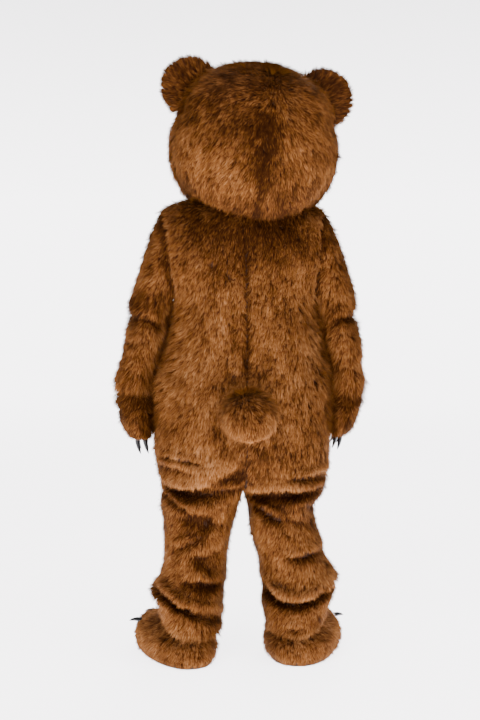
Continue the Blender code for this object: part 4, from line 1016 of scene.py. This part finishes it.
def mottled(name, dark, light, scale, strength, distance, **sockets):
    """A colour that drifts between two by noise, with a fine bump of the same grain."""
    made, tree, shader = new_material(name, **sockets)
    where = add(tree, "ShaderNodeTexCoord").outputs["Object"]
    noise = add(tree, "ShaderNodeTexNoise", {"Vector": where, "Scale": scale, "Detail": 5.0})
    colour = ramp(tree, noise.outputs["Fac"], ((0.35, dark), (0.65, light)))
    tree.links.new(colour, shader.inputs["Base Color"])
    bump = add(tree, "ShaderNodeBump", {"Height": noise.outputs["Fac"], "Strength": strength,
                                        "Distance": distance})
    tree.links.new(bump.outputs["Normal"], shader.inputs["Normal"])
    return made


MATERIALS = {}


def materials():
    """The costume's finishes, made once."""
    if MATERIALS:
        return MATERIALS
    # Long acrylic pile: a golden sheen where it is seen edge-on, warm tips over nearly black roots.
    MATERIALS["pile"] = pile_material(
        "long_acrylic_pile",
        ((0.0, "#2a1000"), (0.25, "#56300c"), (0.5, "#845126"), (0.75, "#9f6a3d"), (1.0, "#bb8658")),
        ((0.0, "#140500"), (0.5, "#381a05"), (1.0, "#583011")),
        Roughness=0.6, Specular_IOR_Level=0.04, Sheen_Weight=0.24, Sheen_Roughness=0.30,
        Sheen_Tint=linear("#d88a30"),
    )
    # Short tan plush: matt, evenly lit, its roots only a little darker.
    MATERIALS["plush"] = pile_material(
        "short_tan_plush",
        ((0.0, "#a5764a"), (0.5, "#c79a6b"), (1.0, "#ddb78b")),
        ((0.0, "#5e3d20"), (1.0, "#86603a")),
        Roughness=0.7, Specular_IOR_Level=0.2,
    )
    # Knitted polyester backing, dyed brown: matt, with a fine uneven knit that is drawn 3 mm coarse.
    MATERIALS["backing"] = mottled("knitted_backing", "#2a1406", "#44240d", 320.0, 0.4, 0.0006,
                                   Roughness=0.95)
    # Moulded PVC claws, nose and eyes: black and glossy, with faint streaks from handling.
    MATERIALS["moulding"] = mottled("moulded_black_pvc", "#060607", "#101013", 60.0, 0.05, 0.0004,
                                    Roughness=0.20, Specular_IOR_Level=0.25)
    # Sheet rubber sole: matt dark grey with a coarse moulded grain.
    MATERIALS["rubber"] = mottled("sheet_rubber_sole", "#17150f", "#2a2722", 240.0, 0.5, 0.0008,
                                  Roughness=0.8)
    return MATERIALS


# ---- Settings ---------------------------------------------------------------------------------


def amount(name, about, default, least, unit="LENGTH"):
    """A number that the panel shows."""
    return FloatProperty(name=name, description=about, default=default, min=least, unit=unit)


class CostumePile(bpy.types.PropertyGroup):
    """Sizes of the pile."""

    spacing: amount("Spacing", "Distance between strands", 0.0021, 0.001)
    length: amount("Length", "Length of a strand of the suit", 0.0250, 0.002)
    width: amount("Width", "Width of a strand at its root", 0.0029, 0.0005)
    plush_length: amount("Plush length", "Length of the muzzle's strands", 0.009, 0.001)
    fineness: IntProperty(name="Fineness", description="Grid steps between two rows of the cut", default=6,
                          min=1)


class CostumeStage(bpy.types.PropertyGroup):
    """The floor and its light."""

    floor_colour: FloatVectorProperty(name="Floor", description="Colour of the studio paper",
                                      subtype="COLOR", default=linear("#f4f1f2")[:3], min=0, max=1)
    floor_radius: amount("Radius", "Radius of the studio paper", 9.0, 2.0)
    floor_glow: amount("Floor glow", "Light that the studio paper gives off", 4.2, 0.0, "NONE")
    ambient: amount("Room light", "Brightness of the room around", 0.9, 0.0, "NONE")
    wall: amount("Wall", "Brightness of the wall in the picture", 6.4, 0.0, "NONE")
    key_power: amount("Key light", "Power of the main softbox", 155.0, 0.0, "POWER")


# ---- Operators --------------------------------------------------------------------------------


def declare(base, fur, node):
    """Backing and pile ride with the costume, and the backing stands in for the solid."""
    for piece in (base, fur):
        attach(piece, "root")
    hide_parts(node)


def dress(node, cloth, held="hung", **pile):
    """Backing and pile of one cloth node, declared as a sheet cut to about its own area."""
    found = materials()
    settings = bpy.context.scene.costume_pile
    coarse = Cloth(*(field[::2, ::2] for field in cloth[:3]), cloth.wraps)
    base = backing(node + "_backing", coarse, found["backing"])
    pile = {"length": settings.length, "width": settings.width, **pile}
    fur = pile_mesh(node + "_pile", cloth, found["pile"], **pile)
    declare(base, fur, node)
    area = float(cell_areas(closed(cloth.points, cloth.wraps)).sum())
    flat_size(cloth)


def lump(node, centre, radii, frame_of, slot="brown_fur", finish="pile", cover=None, **pile):
    """A stuffed oval ball with a closed backing just under its pile."""
    found = materials()
    down, around = grid(np.linspace(0, np.pi, 33), round_steps(48))
    points, middle = frame_of(oval_ball(centre, radii, down, around)), frame_of(np.array(centre, float))
    cloth = made_cloth(points, 0 * down, True, middle)
    inner = cloth.points - pile.get("root", LYING_PILE) * cloth.normals
    base = mesh_object(node + "_stuffing", inner, face_grid(*down.shape, True), found["backing"])
    fur = pile_mesh(node + "_pile", cloth, found[finish], cover=cover(cloth) if cover else None, **pile)
    declare(base, fur, node)


class COSTUME_OT_suit(bpy.types.Operator):
    """Sews the suit's four panels and covers them with pile"""

    bl_idname = "costume.suit"
    bl_label = "Suit panels"

    def execute(self, context):
        rows, across = grid(steps(TOP_ROW), steps(PANEL_COLUMNS))
        for number, side in enumerate(SIDES):
            for face in FACES:
                points, trough = body_panel(side, face, rows, across)
                aside = np.clip(np.abs(points[..., 0]), 0, LEG_ASIDE) * SIDES[side]
                aside = aside * (points[..., 2] + SHOULDER_HEIGHT < LEG_TOP)
                axis = stack(aside, 0 * aside, points[..., 2])
                cloth = made_cloth(points, trough, False, axis)
                extra = creased(points, cloth.normals, face)
                points = points - extra[..., None] * cloth.normals
                points[:, 0, 0] = cloth.points[:, 0, 0]
                # Painted shade and painted light in the pile: darker in folds and creases, lighter on the
                # rolls over them and at the trouser hem. The pile is also lighter along the armhole's edge.
                armhole = -0.010 * np.exp(-(((PANEL_COLUMNS - across) / 0.5) ** 2)) * (rows > ARMPIT_ROW)
                hem = 0.007 * np.exp(-((rows / 0.35) ** 2))
                tone = trough + np.maximum(1.6 * extra, 0.7 * extra) + armhole - hem
                dress(f"suit_{face}_{side}", made_cloth(points, tone, False, axis), seed=10 + number,
                      near_arm=True, longer=lambda place: 1 - 0.30 * np.exp(-((place[:, 0] / 0.006) ** 2)))
        return {"FINISHED"}


class COSTUME_OT_sleeves(bpy.types.Operator):
    """Sews both sleeves and covers them with pile"""

    bl_idname = "costume.sleeves"
    bl_label = "Sleeves"

    def execute(self, context):
        for number, side in enumerate(SIDES):
            last = len(SLEEVE_SECTIONS[side]) - 1
            rings, around = grid(steps(last), steps(2 * ARMHOLE_ROWS)[:-1])
            points, trough = sleeve(side, rings, around)
            # Painted shade along the armhole seam and painted light at the sleeve's hem, added to the folds'
            # troughs, which darken the pile.
            seam_shade_and_hem_light = 0.030 * np.exp(-((rings / 0.55) ** 2)) - 0.007 * np.exp(-(((last - rings) / 0.5) ** 2))
            dress(f"sleeve_{side}", tube_cloth(points, trough + seam_shade_and_hem_light), seed=20 + number, near_arm=True,
                  longer=lambda place: 1 + 0.6 * np.clip((0.93 - SHOULDER_HEIGHT - place[:, 2]) / 0.03, 0, 1))
        return {"FINISHED"}


def outside(points, centre, radii, margin=1.0):
    """1 where a point of the head's own frame lies outside an oval ball, else 0."""
    return ((((points - np.array(centre)) / (np.array(radii) * margin)) ** 2).sum(axis=-1) > 1).astype(float)


def combed_head(place, away):
    """The head's lay: down, fanning out from a parting, and nearly sideways over the crown."""
    local = head_local(place)
    aside = np.tanh(4 * (local[..., 0] + 0.03) / HEAD_HALF_WIDTH)
    top = np.clip(local[..., 2] / HEAD_CROWN - 0.25, 0, 0.6) / 0.6
    return stack(aside * (0.50 + 0.9 * top), away + 0 * top, 0.8 * top - 1.0)


class COSTUME_OT_head(bpy.types.Operator):
    """Sews the head's four panels, with the pile left out under the ears, muzzle and eyes"""

    bl_idname = "costume.head"
    bl_label = "Head panels"

    def execute(self, context):
        rows, across = grid(steps(HEAD_ROWS), steps(HEAD_COLUMNS))
        nape_seam = 0.012 * np.exp(-((across / 0.22) ** 2)) * (rows > 0.66 * HEAD_ROWS)
        for number, side in enumerate(SIDES):
            for face in FACES:
                points = head_panel(side, face, rows, across)
                cloth = made_cloth(points, nape_seam * (face == "back"), False, np.array(HEAD_CENTRE) - UP)
                local, sign = head_local(points), SIDES[side]
                cover = outside(local, (sign * EAR_CENTRE[side][0], 0, EAR_CENTRE[side][2]), EAR_RADII, 0.8)
                cover *= outside(local, MUZZLE_CENTRE, MUZZLE_RADII, 0.92)
                cover *= outside(local, (sign * EYE_SOCKET[0], *EYE_SOCKET[1:]), EYE_SOCKET_RADII)
                away = 0.35 * FACES[face]
                dress(f"head_{face}_{side}", cloth, "stretched", seed=30 + number, cover=cover, shade=-0.07,
                      lay=lambda place, away=away: combed_head(place, away))
        return {"FINISHED"}


def off_head(cloth):
    """1 where an ear's cloth is clear of the head, 0 where it is sewn into it."""
    local = head_local(cloth.points)
    across = np.hypot(local[..., 0] / HEAD_HALF_WIDTH, local[..., 1] / HEAD_HALF_DEPTH["back"])
    return 1.0 - (across**HEAD_SQUARE + np.abs(local[..., 2] / HEAD_CROWN) ** HEAD_SQUARE < 0.93)


class COSTUME_OT_ears(bpy.types.Operator):
    """Stuffs both ears: oval balls whose pile runs out to the rim"""

    bl_idname = "costume.ears"
    bl_label = "Ears"

    def execute(self, context):
        for number, (side, sign) in enumerate(SIDES.items()):
            foot = on_head(np.array([[0.10 * sign, 0.0, 0.09]]))
            lump("ear_" + side, (EAR_CENTRE[side][0] * sign, *EAR_CENTRE[side][1:]), EAR_RADII, on_head,
                 cover=off_head, seed=40 + number, length=0.0240, rise=32.0, shade=EAR_SHADE[side],
                 lay=lambda place, foot=foot: place - foot)
        return {"FINISHED"}


def rim_lit(place):
    """The tail's pile is lighter round its lower rim."""
    across, up = place[:, 0] - TAIL_CENTRE[0], place[:, 2] - TAIL_CENTRE[2] + SHOULDER_HEIGHT
    rim = np.clip((np.hypot(across, up) - 0.052) / 0.024, 0, 1)
    return 0.01 + rim * (0.08 + 0.08 * np.clip(0.5 - up / 0.05, 0, 1))


class COSTUME_OT_tail(bpy.types.Operator):
    """Stuffs the tail: a ball whose pile runs down and outwards"""

    bl_idname = "costume.tail"
    bl_label = "Tail"

    def execute(self, context):
        centre = np.array(TAIL_CENTRE) - UP
        crown, fall = centre + np.array([0.012, 0, 0.045]), np.array([0.05, 0.1, -0.15])
        lump("tail", TAIL_CENTRE, TAIL_RADII, lambda points: points - UP, seed=50, length=0.024, rise=36.0,
             lay=lambda place: unit(place - crown) + fall, shade=rim_lit,
             longer=lambda place: 1 - 0.5 * np.clip((centre[2] - place[:, 2] - 0.03) / 0.04, 0, 1))
        return {"FINISHED"}


class COSTUME_OT_muzzle(bpy.types.Operator):
    """Stuffs the muzzle in short tan plush, combed back from the nose"""

    bl_idname = "costume.muzzle"
    bl_label = "Muzzle"

    def execute(self, context):
        nose = on_head(np.array([NOSE_CENTRE]))
        lump("muzzle", MUZZLE_CENTRE, MUZZLE_RADII, on_head, "tan_plush", "plush", seed=60,
             length=context.scene.costume_pile.plush_length, width=0.0022, spacing=0.0022, root=0.004,
             clump=0.2, lay=lambda place: place - nose)
        return {"FINISHED"}


def glove_length(place):
    """A glove's pile: longer up at the cuff, under the sleeve's hem, and shorter at the fingertips."""
    height = place[:, 2] + SHOULDER_HEIGHT
    return 1 + 0.9 * np.clip((height - 0.81) / 0.03, 0, 1) - 0.6 * np.clip((0.715 - height) / 0.02, 0, 1)


class COSTUME_OT_gloves(bpy.types.Operator):
    """Sews both mittens and covers them with pile"""

    bl_idname = "costume.gloves"
    bl_label = "Gloves"

    def execute(self, context):
        for number, side in enumerate(SIDES):
            rings, around = grid(steps(len(GLOVE_SECTIONS[side])), round_steps(48))
            dress(f"glove_{side}", tube_cloth(glove(side, rings, around), 0 * rings), seed=70 + number,
                  cover=(rings > 0.5).astype(float), length=0.024, shade=-0.10, near_arm=True,
                  longer=glove_length)
        return {"FINISHED"}


def combed_boot(place, ankle):
    """The boot's lay: out from the ankle and down."""
    return (place - ankle) * np.array([1.0, 1.0, 0.0]) * 5 + np.array([0.0, 0.0, -0.8])


class COSTUME_OT_boots(bpy.types.Operator):
    """Sews both boot uppers and covers them with pile"""

    bl_idname = "costume.boots"
    bl_label = "Boots"

    def execute(self, context):
        for number, side in enumerate(SIDES):
            rings, around = grid(steps(len(BOOT_SECTIONS) - 1), round_steps(72))
            points = boot(side, rings, around)
            dress(f"boot_{side}", tube_cloth(points, 0 * rings), seed=80 + number, length=0.021,
                  lay=lambda place, ankle=points[-1].mean(axis=0): combed_boot(place, ankle),
                  longer=lambda place: 1 - 0.55 * np.exp(-(((place[:, 1] + 0.10) / 0.035) ** 2)))
        return {"FINISHED"}


class COSTUME_OT_mouldings(bpy.types.Operator):
    """Finishes the claws, nose, eyes and soles, and rounds the nose and eyes"""

    bl_idname = "costume.mouldings"
    bl_label = "Claws, nose, eyes and soles"

    def execute(self, context):
        found = materials()
        for name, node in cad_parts.items():
            claw, button = "claw" in name, name.startswith(("nose", "eye"))
            if not (claw or button or name.startswith("sole")):
                continue
            node.data.materials.clear()
            node.data.materials.append(found["moulding" if claw or button else "rubber"])
            if claw or button:
                weld = node.modifiers.new("merged", "WELD")
                weld.merge_threshold = 0.00001
            if button:
                smooth = node.modifiers.new("rounded", "SUBSURF")
                smooth.levels = smooth.render_levels = 2
        return {"FINISHED"}


def paper_material(settings):
    """Studio paper: matt white, lit through from below, that runs out into the wall's brightness."""
    paper, tree, shader = new_material("studio_paper", Roughness=0.9, Specular_IOR_Level=0.1)
    where = add(tree, "ShaderNodeTexCoord").outputs["Object"]
    away = add(tree, "ShaderNodeVectorMath", {0: where}, operation="LENGTH").outputs["Value"]
    far = add(tree, "ShaderNodeMapRange", {"Value": away, "From Min": 1.5, "From Max": 8.5},
              interpolation_type="SMOOTHSTEP").outputs["Result"]
    dark = add(tree, "ShaderNodeMix", {0: far, 6: (*settings.floor_colour, 1.0), 7: (0, 0, 0, 1)},
               data_type="RGBA")
    glow = add(tree, "ShaderNodeMapRange", {"Value": far, "To Min": settings.floor_glow,
                                            "To Max": settings.wall})
    tree.links.new(dark.outputs[2], shader.inputs["Base Color"])
    tree.links.new(glow.outputs["Result"], shader.inputs["Emission Strength"])
    shader.inputs["Emission Color"].default_value = linear(WALL_COLOUR)
    return paper


def studio_world(settings):
    """A room that lights the costume, with a far brighter wall behind it, less so higher up."""
    world = bpy.data.worlds.new("soft_studio")
    world.use_nodes = True
    tree = world.node_tree
    ambient = tree.nodes["Background"]
    ambient.inputs["Color"].default_value = linear("#f4f1f4")
    ambient.inputs["Strength"].default_value = settings.ambient
    way = add(tree, "ShaderNodeTexCoord").outputs["Generated"]
    high = add(tree, "ShaderNodeSeparateXYZ", {"Vector": way}).outputs["Z"]
    fade = add(tree, "ShaderNodeMapRange", {"Value": high, "From Min": 0.06, "From Max": 0.26,
                                            "To Min": settings.wall, "To Max": 0.62 * settings.wall})
    wall = add(tree, "ShaderNodeBackground", {"Color": linear(WALL_COLOUR),
                                              "Strength": fade.outputs["Result"]})
    seen = add(tree, "ShaderNodeLightPath").outputs["Is Camera Ray"]
    both = add(tree, "ShaderNodeMixShader", {0: seen, 1: ambient.outputs[0], 2: wall.outputs[0]})
    tree.links.new(both.outputs[0], tree.nodes["World Output"].inputs["Surface"])
    return world


class COSTUME_OT_stage(bpy.types.Operator):
    """Lays the studio paper and sets the camera and soft lights"""

    bl_idname = "costume.stage"
    bl_label = "Floor, lights and camera"

    def execute(self, context):
        settings = context.scene.costume_stage
        turn = round_steps(96)
        ring = stack(np.cos(turn), np.sin(turn), 0 * turn) * settings.floor_radius
        ring[:, 2] = CAD_BOX[0][2]
        mesh = bpy.data.meshes.new("studio_paper")
        mesh.from_pydata(ring.tolist(), [], [list(range(len(ring)))])
        placed("studio_paper", mesh, paper_material(settings))
        context.scene.world = studio_world(settings)
        for box in SOFTBOXES:
            light = bpy.data.lights.new(box.name, "AREA")
            light.shape = "SQUARE"
            light.size = box.size
            light.energy = settings.key_power * box.share
            lamp = bpy.data.objects.new(box.name, light)
            context.scene.collection.objects.link(lamp)
            lamp.location = box.place
            aim = np.array(box.aim) - np.array(box.place)
            lamp.rotation_euler = (
                float(np.arccos(-aim[2] / np.linalg.norm(aim))), 0, float(np.arctan2(-aim[0], aim[1]))
            )
        camera = bpy.data.cameras.new("camera")
        camera.sensor_width = 36.0
        camera.lens = CAMERA.lens
        camera.shift_x = CAMERA.shift
        eye = bpy.data.objects.new("camera", camera)
        context.scene.collection.objects.link(eye)
        bearing = np.radians(CAMERA.bearing)
        across, back = CAMERA.away * np.sin(bearing), CAMERA.away * np.cos(bearing)
        eye.location = (across, back, CAMERA.height - SHOULDER_HEIGHT)
        eye.rotation_euler = (np.radians(90.0 - CAMERA.down), 0.0, np.radians(180.0) - bearing)
        context.scene.camera = eye
        return {"FINISHED"}


OPERATORS = (COSTUME_OT_suit, COSTUME_OT_sleeves, COSTUME_OT_head, COSTUME_OT_ears, COSTUME_OT_tail,
             COSTUME_OT_muzzle, COSTUME_OT_gloves, COSTUME_OT_boots, COSTUME_OT_mouldings, COSTUME_OT_stage)


class COSTUME_PT_panel(bpy.types.Panel):
    """Sizes of the pile and buttons for each group of pieces"""

    bl_idname = "COSTUME_PT_panel"
    bl_label = "Bear costume"
    bl_space_type = "VIEW_3D"
    bl_region_type = "UI"
    bl_category = "Costume"

    def draw(self, context):
        for group in (context.scene.costume_pile, context.scene.costume_stage):
            for name in group.__annotations__:
                self.layout.prop(group, name)
        for operator in OPERATORS:
            self.layout.operator(operator.bl_idname)


CLASSES = (CostumePile, CostumeStage, *OPERATORS, COSTUME_PT_panel)


def register():
    for kind in CLASSES:
        bpy.utils.register_class(kind)
    bpy.types.Scene.costume_pile = PointerProperty(type=CostumePile)
    bpy.types.Scene.costume_stage = PointerProperty(type=CostumeStage)


def unregister():
    del bpy.types.Scene.costume_stage
    del bpy.types.Scene.costume_pile
    for kind in reversed(CLASSES):
        bpy.utils.unregister_class(kind)


def main():
    register()
    for operator in OPERATORS:
        getattr(bpy.ops.costume, operator.bl_idname.split(".")[1])()


if __name__ == "__main__":
    main()
